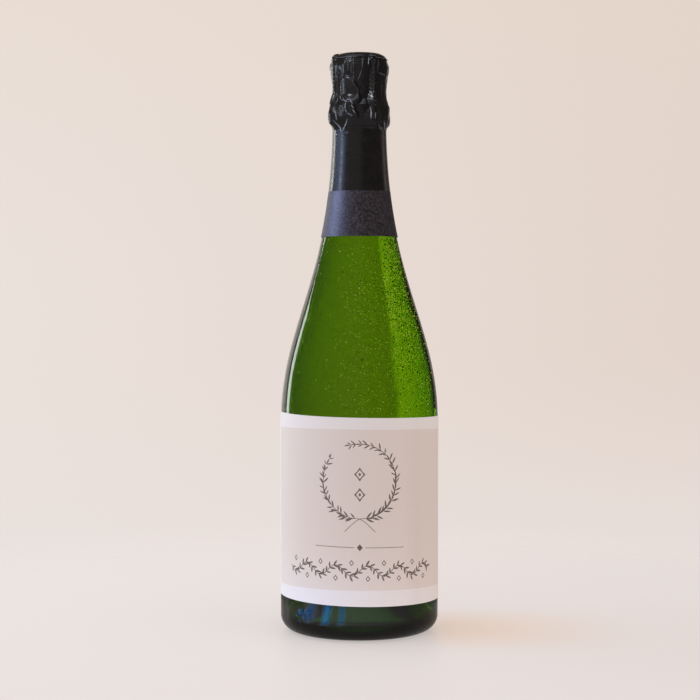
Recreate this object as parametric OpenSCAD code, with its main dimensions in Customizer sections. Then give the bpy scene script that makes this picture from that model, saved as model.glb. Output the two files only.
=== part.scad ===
// Sparkling wine bottle, 75 cl, closed: glass, wine, label, neck band, cork, wire cage and foil.
// Millimetres. The foot stands on z = 0, the front label faces -Y, and +X is the viewer's right.
// A turn is an angle round the bottle from the front, positive towards +X.

/* [Bottle] */
// Diameter of the straight body
body_d = 88.4; // [84:0.2:92]
// Height of the lip above the foot
lip_z = 300; // [294:1:310]
// Height where the shoulder begins to draw in
shoulder_z = 116.5; // [108:0.5:118]
// Diameter of the neck just under the ring
neck_d = 29; // [28.4:0.1:29.6]
// Thickness of the glass in the wall
wall = 5; // [3:0.1:6]
// Thickness of the glass over the foot
base_t = 7.5; // [5:0.5:9]
// Rounding of the heel
heel_round = 9; // [6:0.5:10]
// Width of the flat ring that the bottle stands on
foot_w = 2.2; // [1.6:0.1:3]
// Height of the punt, the hollow in the base
punt_h = 32; // [24:1:36]

/* [Finish] */
// Diameter of the lip
lip_d = 28.6; // [28:0.1:29]
// Diameter of the bore that holds the cork
bore_d = 17.5; // [17:0.1:18]
// Length of the straight bore
bore_len = 26; // [25:0.5:32]
// How far the ring that the wire cage hooks under stands out from the neck
ring_out = 1.7; // [1.4:0.1:2]
// Height of that ring
ring_h = 6; // [5:0.1:6.5]
// Distance from the lip down to the underside of the ring
ring_drop = 12; // [11.6:0.1:13]
// Distance from the lip down to the level of the wine
fill_drop = 68; // [60:1:74]

/* [Cork] */
// Length of cork inside the bore
cork_depth = 24; // [21:0.5:24.5]
// Height of the cork's head above the lip
cork_head_h = 20.3; // [19:0.1:22]
// Diameter of the cork's head
cork_head_d = 29.4; // [28.8:0.1:29.6]
// Thickness of each natural cork disc at the wine's end
disc_h = 6; // [4:0.5:7]

/* [Wire cage] */
// How far the metal cap's rim stands out past the cork's head
plaque_over = 0.8; // [0.6:0.1:1]
// Thickness of the metal cap
plaque_t = 0.3; // [0.2:0.05:0.35]
// Depth of the metal cap from its seat on the cork to its rim
plaque_skirt = 3.7; // [3:0.1:4.2]
// Diameter of the wire in the legs and the top ring
strand_d = 0.8; // [0.6:0.05:0.85]
// Diameter of the wire in the belt and the key
belt_wire_d = 1; // [0.8:0.05:1.05]
// Distance of the wire ring on top from where the legs begin to bend down
top_ring_in = 2.35; // [2.2:0.05:2.6]
// Length of one turn of the twisted legs
leg_pitch = 5; // [4.5:0.1:7]
// Turn of the first leg, with the others at quarter turns from it
leg_turn = 28; // [26:1:31]
// Turn of the key where it leaves the belt
key_turn = -8; // [-14:1:-8]
// Width of the key's loop, to the middle of the wire
key_w = 9; // [8:0.1:10]
// Height of the key's loop, to the middle of the wire
key_h = 12.6; // [11:0.1:13.4]
// Length of the key's twisted shank
shank_h = 8.2; // [7.8:0.1:9]

/* [Foil and paper] */
// Thickness of the foil
foil_t = 0.12; // [0.08:0.01:0.16]
// Distance from the lower ends of the legs down to the tear line of the foil
tear_below = 3.1; // [2.8:0.1:4]
// Distance from the lip down to the lower edge of the foil, under the neck band
foil_drop = 76; // [73:1:79]
// Distance from the lip down to the upper edge of the neck band
band_drop = 54.2; // [50:0.2:58]
// Height of the neck band
band_h = 25.3; // [20:0.1:30]
// Thickness of the neck band
band_t = 0.35; // [0.2:0.05:0.5]
// Height of the label's lower edge above the foot
label_z = 19.9; // [14:0.1:24]
// Height of the label
label_h = 102; // [80:1:104]
// Angle that the label wraps
label_wrap = 173; // [120:1:180]
// Thickness of the label
label_t = 0.2; // [0.15:0.05:0.3]

/* [Hidden] */
$fn = 96;

// Clearances: the cork in its bore, two wires that touch, a piece that passes the ring,
// paper or foil on what carries it, a wire under the ring, and the foil over the wires.
cork_fit = 0.05;
wire_gap = 0.1;
pass_gap = 0.12;
skin_gap = 0.05;
hook_gap = 0.3;
hood_gap = 0.12;

body_r = body_d / 2;
neck_r = neck_d / 2;
lip_r = lip_d / 2;
bore_r = bore_d / 2;
ring_r = neck_r + ring_out;
ring_low_z = lip_z - ring_drop;
ring_top_z = ring_low_z + ring_h;
cork_head_r = cork_head_d / 2;
plaque_r = cork_head_r + plaque_over;

// Where the wires run: a leg's two strands lie side by side, bend down past the metal cap's
// rim, and end just under the belt, which hooks under the ring.
strand_off = (strand_d + wire_gap) / 2;
pair_r = strand_off + strand_d / 2;
leg_bend = 2.3;
leg_end = 2.6;
leg_top_r = plaque_r + pair_r - wire_gap;
bend_r = leg_top_r - leg_bend;
top_ring_r = bend_r - top_ring_in;
belt_z = ring_low_z - hook_gap - belt_wire_d / 2;
leg_end_z = belt_z - leg_end;

// Basic curves

function bezier(p, t) =
    pow(1 - t, 3) * p[0]
    + 3 * pow(1 - t, 2) * t * p[1]
    + 3 * (1 - t) * t * t * p[2]
    + pow(t, 3) * p[3];

function arc(centre, r, from, to, steps) =
    [for (i = [0:steps]) let (a = from + (to - from) * i / steps) centre + r * [cos(a), sin(a)]];

// 0 up to 1 between a and b, with soft ends.
function ease(a, b, x) =
    let (t = min(max((x - a) / (b - a), 0), 1)) t * t * (3 - 2 * t);

function mix(a, b, t) = a + (b - a) * t;

// The difference between two turns, from 0 to 180.
function apart(a, b) = abs(((a - b + 180) % 360 + 360) % 360 - 180);

function flip(points) = [for (i = [len(points) - 1:-1:0]) points[i]];

// The point at a radius, a turn from the front and a height.
function place(r, turn, z) = [r * sin(turn), -r * cos(turn), z];

// The direction square to an outline at one of its points, on its right-hand side.
function side(points, i) =
    let (along = points[min(i + 1, len(points) - 1)] - points[max(i - 1, 0)])
    [along[1], -along[0]] / norm(along);

// A closed outline of even thickness, from the outline of its outer face. It stops at the axis.
function sheet(points, t) =
    concat(points, flip([
        for (i = [0:len(points) - 1])
            let (p = points[i] - t * side(points, i))
            [max(p[0], 0), p[1]]
    ]));

// The outer outline of the glass from the heel to the ring: a straight body, then one long
// curve whose two handles are shares of the height from the shoulder to the ring.
shoulder_share = 0.336;
neck_share = 0.537;
shoulder_steps = 28;
shoulder_h = ring_low_z - shoulder_z;
shoulder_line = [
    for (i = [0:shoulder_steps]) bezier([
        [body_r, shoulder_z],
        [body_r, shoulder_z + shoulder_share * shoulder_h],
        [neck_r, ring_low_z - neck_share * shoulder_h],
        [neck_r, ring_low_z]
    ], i / shoulder_steps)
];
glass_table = concat([[0, body_r]], [for (p = shoulder_line) [p[1], p[0]]]);

function glass_r(z) = lookup(z, glass_table);

// The inner outline follows the outer one up to where the neck tapers into the bore.
taper_share = 0.26;
bore_z = lip_z - bore_len;
taper_z = ring_low_z - taper_share * shoulder_h;
fill_z = lip_z - fill_drop;
inner_line = concat(
    [for (p = shoulder_line) if (p[1] < taper_z) [p[0] - wall, p[1]]],
    [[glass_r(taper_z) - wall, taper_z], [bore_r, bore_z]]
);
inner_table = [for (p = inner_line) [p[1], p[0]]];

function inner_r(z) = lookup(z, inner_table);

// The punt is a cone with a soft tip: its height falls with a power of the radius.
punt_power = 1.6;
punt_steps = 10;
punt_r = body_r - heel_round - foot_w;
inner_round_share = 0.85;
inner_round = inner_round_share * base_t;
valley_r = body_r - wall - inner_round;

function punt_line(r, low_z) =
    [for (i = [0:punt_steps]) [r * i / punt_steps, low_z + punt_h * (1 - pow(i / punt_steps, punt_power))]];

// Inside of the base, from the axis to the wall, moved up and in by a gap.
function base_inside(gap) = concat(
    punt_line(valley_r, base_t + gap),
    arc([valley_r, base_t + inner_round], inner_round - gap, -90, 0, 6)
);

// The ring and the lip above it.
ring_round_share = 0.25;
ring_round = ring_round_share * ring_h;
groove_depth = 0.8;
groove_h = 0.8;
lip_round = 1.4;
mouth_round = 0.7;
finish_line = concat(
    arc([ring_r - ring_round, ring_low_z + ring_round], ring_round, -90, 0, 4),
    arc([ring_r - ring_round, ring_top_z - ring_round], ring_round, 0, 90, 4),
    [[lip_r - groove_depth, ring_top_z], [lip_r - groove_depth, ring_top_z + groove_h]],
    [[lip_r, ring_top_z + groove_h + groove_depth]],
    arc([lip_r - lip_round, lip_z - lip_round], lip_round, 0, 90, 5),
    arc([bore_r + mouth_round, lip_z - mouth_round], -mouth_round, -90, 0, 3)
);

module bottle_glass() {
    outer = concat(
        punt_line(punt_r, 0),
        arc([body_r - heel_round, heel_round], heel_round, -90, 0, 9),
        shoulder_line,
        finish_line
    );
    inner = concat(flip(inner_line), flip(base_inside(0)));
    color([0.30, 0.45, 0.08]) rotate_extrude() polygon(concat(outer, inner));
}

// The wine fills the bottle up to a level in the neck that the band hides.
module wine() {
    level = [[inner_r(fill_z) - skin_gap, fill_z], [0, fill_z]];
    side_line = [for (p = inner_line) if (p[1] < fill_z) [p[0] - skin_gap, p[1]]];
    color([0.86, 0.82, 0.45]) rotate_extrude() polygon(concat(base_inside(skin_gap), side_line, level));
}

// Label, band and foil lie on the glass: a skin between two heights, at a gap from the glass.
function skin(low_z, high_z, gap, t, steps) =
    let (heights = [for (i = [0:steps]) mix(low_z, high_z, i / steps)])
    concat(
        [for (z = heights) [glass_r(z) + gap + t, z]],
        flip([for (z = heights) [glass_r(z) + gap, z]])
    );

// Part of a turned body that begins at one turn from the front and runs for an angle.
module turned(from, angle) {
    rotate([0, 0, from - 90]) rotate_extrude(angle = angle) children();
}

module front_label() {
    color([0.85, 0.80, 0.77])
        turned(-label_wrap / 2, label_wrap)
            polygon(skin(label_z, label_z + label_h, skin_gap, label_t, 20));
}

// Band and foil are sheets whose ends lap at the back.
lap_angle = 14;
lap_inset = 0.01;
band_z = lip_z - band_drop - band_h;
foil_z = lip_z - foil_drop;
tear_z = leg_end_z - tear_below;
tear_gap = 0.1;

module neck_band() {
    gap = skin_gap + foil_t + skin_gap;
    color([0.16, 0.16, 0.19]) union() {
        rotate_extrude() polygon(skin(band_z, band_z + band_h, gap, band_t, 8));
        turned(180 - lap_angle / 2, lap_angle)
            polygon(skin(band_z, band_z + band_h, gap + band_t - lap_inset, band_t, 8));
    }
}

module foil_sleeve() {
    above_band_z = band_z + band_h + skin_gap;
    color([0.11, 0.11, 0.13]) union() {
        rotate_extrude() polygon(skin(foil_z, tear_z, skin_gap, foil_t, 14));
        turned(180 - lap_angle / 2, lap_angle)
            polygon(skin(above_band_z, tear_z, skin_gap + foil_t - lap_inset, foil_t, 8));
    }
}

// Cork: a bonded body with a pressed head, and two discs of natural cork at the wine's end.
cork_r = bore_r - cork_fit;
cork_low_z = lip_z - cork_depth;
seat_z = lip_z + cork_head_h;
crest_h = 0.8;
crest_r_share = 0.79;
rise_r = top_ring_r - strand_d / 2 - wire_gap;

// The head's side, from its foot on the lip to the edge of its top: shares of the head's
// radius and height.
cork_side_shares = [
    [0.81, 0], [0.89, 0.07], [0.945, 0.20], [0.985, 0.40],
    [1, 0.60], [0.985, 0.80], [0.93, 0.935], [0.87, 1]
];

module cork_body() {
    shaft = [[0, cork_low_z + 2 * disc_h], [cork_r, cork_low_z + 2 * disc_h], [cork_r, lip_z]];
    head = [for (s = cork_side_shares) [s[0] * cork_head_r, lip_z + s[1] * cork_head_h]];
    crest = [
        [rise_r - crest_h, seat_z],
        [crest_r_share * rise_r, seat_z + crest_h],
        [0, seat_z + crest_h]
    ];
    color([0.76, 0.58, 0.38]) rotate_extrude() polygon(concat(shaft, head, crest));
}

module cork_disc(i) {
    color([0.80, 0.62, 0.42])
        translate([0, 0, cork_low_z + i * disc_h])
            cylinder(r = cork_r, h = disc_h);
}

module cork_disc_lower() cork_disc(0);

module cork_disc_upper() cork_disc(1);

// Metal cap: a raised middle, a flat track for the top ring of wire, and a skirt over the
// cork's shoulder whose rim is notched for the four legs.
plaque_rise = 1.1;
plaque_crown = 0.4;
track_z = seat_z + plaque_t;
rim_z = seat_z - plaque_skirt;
track_r = top_ring_r + strand_d / 2 + 2 * wire_gap + strand_d;
// Points of the raised middle: shares of its radius, its rise and its crown.
middle_shares = [[0, 1, 1], [0.45, 1, 0.75], [0.85, 1, 0], [0.93, 0.8, 0]];
// Points of the skirt: shares of the way out and down from the track to the rim.
skirt_shares = [[0, 0], [0.50, 0.16], [0.84, 0.48], [1, 1]];

function leg_at(i) = leg_turn + 90 * i;

module cap_plaque() {
    middle = [
        for (s = middle_shares)
            [s[0] * rise_r, track_z + s[1] * plaque_rise + s[2] * plaque_crown]
    ];
    foot = [[rise_r - plaque_t / 2, track_z + plaque_t / 2], [rise_r, track_z]];
    skirt = [for (s = skirt_shares) [mix(track_r, plaque_r, s[0]), mix(track_z, rim_z, s[1])]];
    color([0.72, 0.62, 0.32]) difference() {
        rotate_extrude() polygon(sheet(flip(concat(middle, foot, skirt)), plaque_t));
        for (i = [0:3])
            translate(place(notch_r, leg_at(i), rim_z - plaque_t))
                cylinder(d = notch_d, h = plaque_skirt, $fn = 48);
    }
}

// Wire as a swept tube of six sides along a list of points. Each ring of the tube is square
// to the path and takes its direction from the ring before it, so the tube never twists.
wire_sides = 6;

function unit(v) = v / norm(v);

function heading(path, i) =
    unit(path[min(i + 1, len(path) - 1)] - path[max(i - 1, 0)]);

function any_square(v) = unit(cross(v, abs(v[2]) < 0.9 ? [0, 0, 1] : [1, 0, 0]));

module wire(path, d) {
    n = len(path);
    normals = [
        for (
            i = 0, u = any_square(heading(path, 0));
            i < n;
            i = i + 1,
            u = i < n ? unit(u - (u * heading(path, i)) * heading(path, i)) : u
        ) u
    ];
    points = [
        for (i = [0:n - 1], k = [0:wire_sides - 1])
            let (a = 360 * k / wire_sides, v = cross(heading(path, i), normals[i]))
            path[i] + d / 2 * (cos(a) * normals[i] + sin(a) * v)
    ];
    ends = concat(
        [for (k = [1:wire_sides - 2]) [0, k, k + 1]],
        [for (k = [1:wire_sides - 2]) [0, k + 1, k] + (n - 1) * wire_sides * [1, 1, 1]]
    );
    sides = [
        for (i = [0:n - 2], k = [0:wire_sides - 1])
            let (a = i * wire_sides + k, b = i * wire_sides + (k + 1) % wire_sides)
            each [[a, a + wire_sides, b], [b, a + wire_sides, b + wire_sides]]
    ];
    polyhedron(points, concat(ends, sides));
}

// A leg is two strands twisted together. Its middle line runs out over the metal cap, bends
// down past the rim, and spreads outside the ring to the belt, where the strands part to form
// the eye that the belt passes through.
eye_off = (belt_wire_d + strand_d) / 2 + 2 * wire_gap;
wire_z = track_z + strand_d / 2 + skin_gap / 2;
leg_waist_r = max(lip_r, cork_head_r) + hook_gap + pair_r;
leg_belt_r = ring_r + pass_gap + strand_d / 2 + eye_off;
notch_d = 4.2;
notch_r = leg_top_r + notch_d / 2 - pair_r - 2 * wire_gap;
bend_z = wire_z - leg_bend;
waist_rise = 2;
waist_z = lip_z + waist_rise;
below_bend = bend_z - leg_end_z;
leg_rings = 7;
bend_rings = 5;

// Radius of a leg's middle line at a height under the bend.
function leg_r(z) =
    z > waist_z
        ? mix(leg_waist_r, leg_top_r, ease(waist_z, bend_z, z))
        : mix(leg_belt_r, leg_waist_r, ease(ring_top_z, waist_z, z));

// The middle line of a leg from the bend down, as [radius, height].
leg_steps = ceil(leg_rings * below_bend / leg_pitch);
leg_line = concat(
    [for (i = [0:bend_rings - 1]) let (a = 90 - 90 * i / bend_rings)
        [bend_r + leg_bend * cos(a), bend_z + leg_bend * sin(a)]],
    [for (i = [0:leg_steps]) let (z = bend_z - below_bend * i / leg_steps) [leg_r(z), z]]
);

// The strands lie side by side where they leave the top and one behind the other at the belt,
// so the leg has a whole number of half turns and a quarter turn more. They don't turn in the
// eye itself, which reaches one belt wire up and down from the belt.
leg_turns = 0.25 + round(2 * (wire_z - belt_z) / leg_pitch) / 2;

function past_eye(z) = sign(z - belt_z) * max(abs(z - belt_z) - belt_wire_d, 0);

function leg_phase(z) = 360 * leg_turns * (1 - past_eye(z) / past_eye(wire_z));

// The strands part over a share of the belt's wire, past the eye.
eye_end_share = 2.2;

function leg_off(z) =
    mix(eye_off, strand_off, ease(belt_wire_d, eye_end_share * belt_wire_d, abs(z - belt_z)));

// One strand of a leg, from the top down. The sign picks the strand.
function strand(turn, sign) = [
    for (i = [0:len(leg_line) - 1])
        let (
            p = leg_line[i],
            phase = leg_phase(p[1]),
            out = side(leg_line, i),
            across = sign * leg_off(p[1]) * cos(phase),
            off = sign * leg_off(p[1]) * sin(phase)
        )
        place(p[0] - off * out[0], turn, p[1] - off * out[1]) + across * [cos(turn), sin(turn), 0]
];

// Where a strand turns off the top ring towards its leg, seen from above.
turn_off_r = 1.6;
turn_x = strand_off + turn_off_r;
turn_y = sqrt(top_ring_r * top_ring_r - turn_x * turn_x);
ring_trim = asin(turn_x / top_ring_r);
arc_steps = 9;

function turn_off(turn, sign) = [
    for (i = [0:4])
        let (
            a = 90 * i / 4,
            x = turn_x - turn_off_r * sin(a),
            y = turn_y + turn_off_r * (1 - cos(a))
        )
        place(y, turn, wire_z) + sign * x * [cos(turn), sin(turn), 0]
];

// One wire of the cage: up a leg, a quarter of the top ring, and down the next leg.
module cage_wire(i) {
    from = leg_at(i);
    to = leg_at(i + 1);
    ring = [
        for (k = [1:arc_steps - 1])
            place(top_ring_r, mix(from + ring_trim, to - ring_trim, k / arc_steps), wire_z)
    ];
    path = concat(
        flip(strand(from, 1)),
        flip(turn_off(from, 1)),
        ring,
        turn_off(to, -1),
        strand(to, -1)
    );
    color([0.70, 0.71, 0.73]) wire(path, strand_d);
}

module cage_wire_right() cage_wire(0);

module cage_wire_back() cage_wire(1);

module cage_wire_left() cage_wire(2);

module cage_wire_front() cage_wire(3);

// Belt: hugs the neck under the ring, and runs straight from there out to each leg's eye.
// Its two ends turn outwards side by side, where the key takes over.
hug_r = neck_r + skin_gap + belt_wire_d / 2;
corner_soft = 4;
corner_turn = acos(hug_r / leg_belt_r) + corner_soft;
belt_steps = 60;
key_off = (belt_wire_d + wire_gap) / 2;
key_pair_r = key_off + belt_wire_d / 2;
key_r = ring_r + pass_gap + key_pair_r;
key_start_gap = belt_wire_d / 2 + wire_gap;

// The belt's ends bend outwards round a curve of one wire.
end_bend = belt_wire_d;
end_x = key_off + end_bend;
end_y = sqrt(hug_r * hug_r - end_x * end_x);

function to_leg(turn) = min([for (i = [0:3]) apart(turn, leg_at(i))]);

function belt_r(turn) =
    let (soft = sqrt(pow(to_leg(turn), 2) + pow(corner_soft, 2)))
    hug_r / cos(max(corner_turn - soft, 0));

module cage_belt() {
    trim = asin(end_x / hug_r);
    loop = [
        for (i = [0:belt_steps])
            let (turn = mix(key_turn + trim, key_turn + 360 - trim, i / belt_steps))
            place(belt_r(turn), turn, belt_z)
    ];
    path = concat(belt_end(1), loop, flip(belt_end(-1)));
    color([0.70, 0.71, 0.73]) wire(path, belt_wire_d);
}

// An end of the belt, from its tip inwards. The sign picks the side of the key.
function belt_end(sign) =
    let (
        tip = [key_off, key_r - key_start_gap],
        curve = [for (a = [0, 30, 60]) [end_x - end_bend * cos(a), end_y + end_bend * (1 - sin(a))]]
    )
    [
        for (p = concat([tip], curve))
            place(p[1], key_turn, belt_z) + sign * p[0] * [cos(key_turn), sin(key_turn), 0]
    ];

// Key: the belt's two ends twisted into a shank, then one loop to hook a finger in. It lies
// folded up against the cork, and leans over to one side.
key_lean = 0.27;
key_loop_r = leg_waist_r - pair_r + belt_wire_d / 2 + wire_gap;
shank_turns = 1.5;
shank_rings = 14;
loop_rings = 26;
loop_start = asin(2 * key_off / key_w);
loop_rise = shank_h + key_h / 2 * cos(loop_start);

// Radius of the surface that the key lies on, at a height over the belt. It is reached a share
// of the loop's height up the loop.
key_seat_share = 0.333;

function key_surface(h) =
    mix(key_r, key_loop_r, ease(ring_top_z - belt_z, shank_h + key_seat_share * key_h, h));

// A point of the key, from its place across and up the key and out of its surface.
function key_point(x, h, out) =
    let (r = key_surface(h))
    place(r + out, key_turn + (x - key_lean * h) / r * 180 / PI, belt_z + h);

function shank(sign) = [
    for (i = [0:shank_rings])
        let (
            h = shank_h * i / shank_rings,
            a = 360 * shank_turns * max(0, (h - belt_wire_d / 2) / (shank_h - belt_wire_d / 2))
        )
        key_point(sign * key_off * cos(a), h, sign * key_off * sin(a))
];

key_loop = [
    for (i = [1:loop_rings - 1])
        let (a = mix(loop_start, 360 - loop_start, i / loop_rings))
        key_point(key_w / 2 * sin(a), loop_rise - key_h / 2 * cos(a), 0)
];

module cage_key() {
    color([0.70, 0.71, 0.73]) wire(concat(shank(-1), key_loop, flip(shank(1))), belt_wire_d);
}

// Foil crown: the round piece that closes the top, flat over the metal cap.
crown_z = track_z + plaque_rise + plaque_crown + skin_gap;
crown_r = top_ring_r + strand_d;
crown_fall = 0.15;

module foil_crown() {
    top = [[crown_r, crown_z + foil_t - crown_fall], [top_ring_r, crown_z + foil_t], [0, crown_z + foil_t]];
    color([0.13, 0.13, 0.15]) rotate_extrude() polygon(sheet(top, foil_t));
}

// Foil hood, pressed onto the cork, the cage and the ring. Its inner face is given by rows from
// the tear line up to the crown. The lower rows follow heights and the upper ones go round the
// bend of the legs. Between the legs a row has its own distance, and over a leg it clears it.
hood_steps = 80;
hood_start = leg_turn + 360 / hood_steps / 2;
hood_bottom_z = tear_z + tear_gap;
ring_slack = 0.9;
waist_slack = 0.38;
shoulder_slack = 1.22;
waist_r = max(lip_r, cork_head_r) + waist_slack;
shoulder_r = plaque_r + shoulder_slack;

// Lower rows between the legs. Each row but the first lies in one of four bands, at a share of
// the band's way out and a share of its way up.
valley_bands = [
    [[neck_r, hood_bottom_z], [ring_r, ring_low_z]],
    [[ring_r, ring_low_z], [ring_r + ring_slack, ring_top_z]],
    [[ring_r, ring_top_z], [waist_r, lip_z]],
    [[waist_r, lip_z], [shoulder_r, rim_z]]
];
valley_shares = [
    [0, 0.30, 0.20], [0, 0.80, 0.45], [0, 1.13, 0.70],
    [1, 0.50, 0], [1, 1, 0.30], [1, 1, 0.80],
    [2, 0.20, 0.12], [2, 0.80, 0.40], [2, 1, 0.70],
    [3, 0, 0.05], [3, 0, 0.25], [3, 0.06, 0.42], [3, 0.35, 0.60], [3, 0.80, 0.78],
    [3, 1, 0.90], [3, 0.85, 1]
];
valley = concat(
    [[glass_r(hood_bottom_z) + skin_gap, hood_bottom_z]],
    [for (s = valley_shares) let (b = valley_bands[s[0]])
        [mix(b[0][0], b[1][0], s[1]), mix(b[0][1], b[1][1], s[2])]]
);

// Upper rows between the legs: the distance from the middle of the bend, as a share of the
// distance over a leg, at even angles from 0 up to 90.
bend_shares = [0.50, 0.46, 0.47, 0.60, 0.87];
low_rows = len(valley);
rows = low_rows + len(bend_shares) + 1;
bend_reach = leg_bend + pair_r + hood_gap;

// How far the foil is drawn out towards a leg: 1 over the leg, and 0 well clear of it.
leg_cover_half = 2.3;
leg_cover_spread = 18;

function over_leg(turn) = 1 - ease(leg_cover_half, leg_cover_spread, to_leg(turn));

// Radius of the foil over a leg at a height under the bend.
function ridge_r(z) =
    mix(
        glass_r(hood_bottom_z) + skin_gap,
        leg_r(z) + leg_off(z) + strand_d / 2 + hood_gap,
        ease(hood_bottom_z - strand_d / 2, leg_end_z - strand_d / 2, z)
    );

// Radius of the foil over the key: a ridge along its shank and round its loop.
key_ridge = 1.9;

function key_cover(turn, z) =
    let (
        h = z - belt_z,
        r = key_surface(h),
        across = ((turn + 180) % 360 - 180 - key_turn) * PI / 180 * r + key_lean * h,
        loop = abs(norm([across / (key_w / 2), (h - loop_rise) / (key_h / 2)]) - 1) * key_w / 2,
        low = max(0, -h - belt_wire_d / 2) + max(0, h - shank_h)
    )
    max(
        r + belt_wire_d / 2 + hood_gap - max(0, loop - key_ridge),
        r + key_pair_r + hood_gap - max(0, abs(across) - key_ridge) - low
    );

// Pleats are drawn out where the foil is gathered: round the ring and at the shoulder.
pleats = 13;
pleat_depth = 0.4;

function pleat(turn, z) =
    pleat_depth
    * (0.5 + 0.5 * sin(pleats * turn + 60 * sin(2 * turn) + 25 * sin(5 * turn)))
    * (ease(hood_bottom_z, ring_low_z, z) * (1 - ease(ring_top_z, lip_z, z))
        + ease(waist_z, rim_z, z) * (1 - ease(rim_z, wire_z, z)));

// A point of the hood's inner face, as [radius, height].
function hood_point(row, turn) =
    row < low_rows
        ? let (z = valley[row][1])
            [max(mix(valley[row][0], ridge_r(z), over_leg(turn)) + pleat(turn, z), key_cover(turn, z)), z]
        : row < rows - 1
            ? let (
                k = row - low_rows,
                a = 90 * k / (len(bend_shares) - 1),
                z = bend_z + leg_bend * sin(a),
                reach = bend_reach * mix(bend_shares[k], 1, over_leg(turn)) + pleat(turn, z)
            )
                [bend_r + reach * cos(a), bend_z + reach * sin(a)]
            : [top_ring_r + strand_d / 2, crown_z + foil_t + skin_gap];

module foil_hood() {
    columns = [
        for (i = [0:hood_steps - 1])
            let (turn = hood_start + 360 * i / hood_steps)
            [for (row = [0:rows - 1]) hood_point(row, turn)]
    ];
    points = [
        for (i = [0:hood_steps - 1], face = [0, 1], row = [0:rows - 1])
            let (p = columns[i][row] + face * foil_t * side(columns[i], row))
            place(p[0], hood_start + 360 * i / hood_steps, p[1])
    ];
    faces = [
        for (i = [0:hood_steps - 1])
            let (a = 2 * rows * i, b = 2 * rows * ((i + 1) % hood_steps), out = rows, last = rows - 1)
            each concat(
                [for (j = [0:rows - 2]) each [
                    [a + j, b + j + 1, a + j + 1],
                    [a + j, b + j, b + j + 1],
                    [a + out + j, a + out + j + 1, b + out + j + 1],
                    [a + out + j, b + out + j + 1, b + out + j]
                ]],
                [[a + out, b + out, b], [a + out, b, a]],
                [[b + out + last, a + out + last, a + last], [b + out + last, a + last, b + last]]
            )
    ];
    color([0.11, 0.11, 0.13]) polyhedron(points, faces);
}

bottle_glass();
wine();
front_label();
neck_band();
foil_sleeve();
cork_body();
cork_disc_upper();
cork_disc_lower();
cap_plaque();
cage_wire_right();
cage_wire_back();
cage_wire_left();
cage_wire_front();
cage_belt();
cage_key();
foil_hood();
foil_crown();
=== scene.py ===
# Sparkling wine bottle of 75 cl: its looks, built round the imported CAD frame. Shapes are worked
# out in millimetres and put into their meshes in metres. A turn is an angle in degrees round the
# bottle from the front, positive towards +X.
import bpy
import numpy as np
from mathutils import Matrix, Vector


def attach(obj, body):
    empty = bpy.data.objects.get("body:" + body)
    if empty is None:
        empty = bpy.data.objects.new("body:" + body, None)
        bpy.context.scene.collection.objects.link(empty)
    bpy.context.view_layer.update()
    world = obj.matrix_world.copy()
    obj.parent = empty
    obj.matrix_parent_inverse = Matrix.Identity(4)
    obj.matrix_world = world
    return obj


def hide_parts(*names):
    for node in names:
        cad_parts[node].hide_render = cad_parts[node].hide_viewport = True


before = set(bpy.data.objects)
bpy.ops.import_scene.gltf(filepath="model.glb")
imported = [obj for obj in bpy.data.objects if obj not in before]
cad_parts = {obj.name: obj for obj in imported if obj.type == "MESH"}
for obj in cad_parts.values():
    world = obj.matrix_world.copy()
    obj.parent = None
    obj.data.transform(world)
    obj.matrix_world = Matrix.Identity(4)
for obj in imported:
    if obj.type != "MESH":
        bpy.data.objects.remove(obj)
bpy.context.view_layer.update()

# Camera: a long lens a metre away, a little over the middle of the bottle and looking slightly
# down, with the bottle just right of the middle of the picture.
MM = 0.001
LENS, SENSOR_W, NEAREST = 88.25, 36, 0.01
CAMERA_SPOT, CAMERA_PITCH = (-5.26 * MM, -965 * MM, 182 * MM), 88.53

scene = bpy.context.scene
camera_data = bpy.data.cameras.new("camera")
camera_data.lens = LENS
camera_data.sensor_width = SENSOR_W
camera_data.clip_start = NEAREST
camera = bpy.data.objects.new("camera", camera_data)
camera.location = CAMERA_SPOT
camera.rotation_euler = (np.radians(CAMERA_PITCH), 0, 0)
scene.collection.objects.link(camera)
scene.camera = camera
scene.view_settings.view_transform = "Standard"


# Room: pale warm walls with daylight from behind and from the left. What the glass shows through
# itself and what it mirrors fall off to its sides in steps of their own, which draw its dark
# edges. The light that falls on the object is even, and a little dimmer from the camera's side.
def link(tree, value, socket):
    """Joins a socket to a node's output, or sets it to a plain value."""
    if isinstance(value, bpy.types.NodeSocket):
        tree.links.new(value, socket)
    elif isinstance(socket.default_value, float):
        socket.default_value = value
    else:
        socket.default_value = tuple(value) + (1,) * (len(socket.default_value) - len(value))


def node(tree, kind, *inputs, **settings):
    """Adds a node, sets its properties, feeds its inputs in order, and returns its first output."""
    made = tree.nodes.new(kind)
    for name, value in settings.items():
        setattr(made, name, value)
    for socket, value in zip([s for s in made.inputs if s.enabled], inputs):
        if value is not None:
            link(tree, value, socket)
    return next(s for s in made.outputs if s.enabled)


def maths(tree, operation, *inputs):
    """One sum on numbers."""
    return node(tree, "ShaderNodeMath", *inputs, operation=operation)


def product(tree, first, *others):
    """Numbers multiplied together."""
    for other in others:
        first = maths(tree, "MULTIPLY", first, other)
    return first


def ramp(tree, value, low, high, at_low=0.0, at_high=1.0):
    """Soft step: at_low where the value is low, at_high where it is high, flat beyond them."""
    return node(
        tree, "ShaderNodeMapRange", value, low, high, at_low, at_high, interpolation_type="SMOOTHSTEP"
    )


def blend(tree, share, first, second):
    """The first number where share is 0, the second where it is 1."""
    return node(tree, "ShaderNodeMix", share, first, second)


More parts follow.
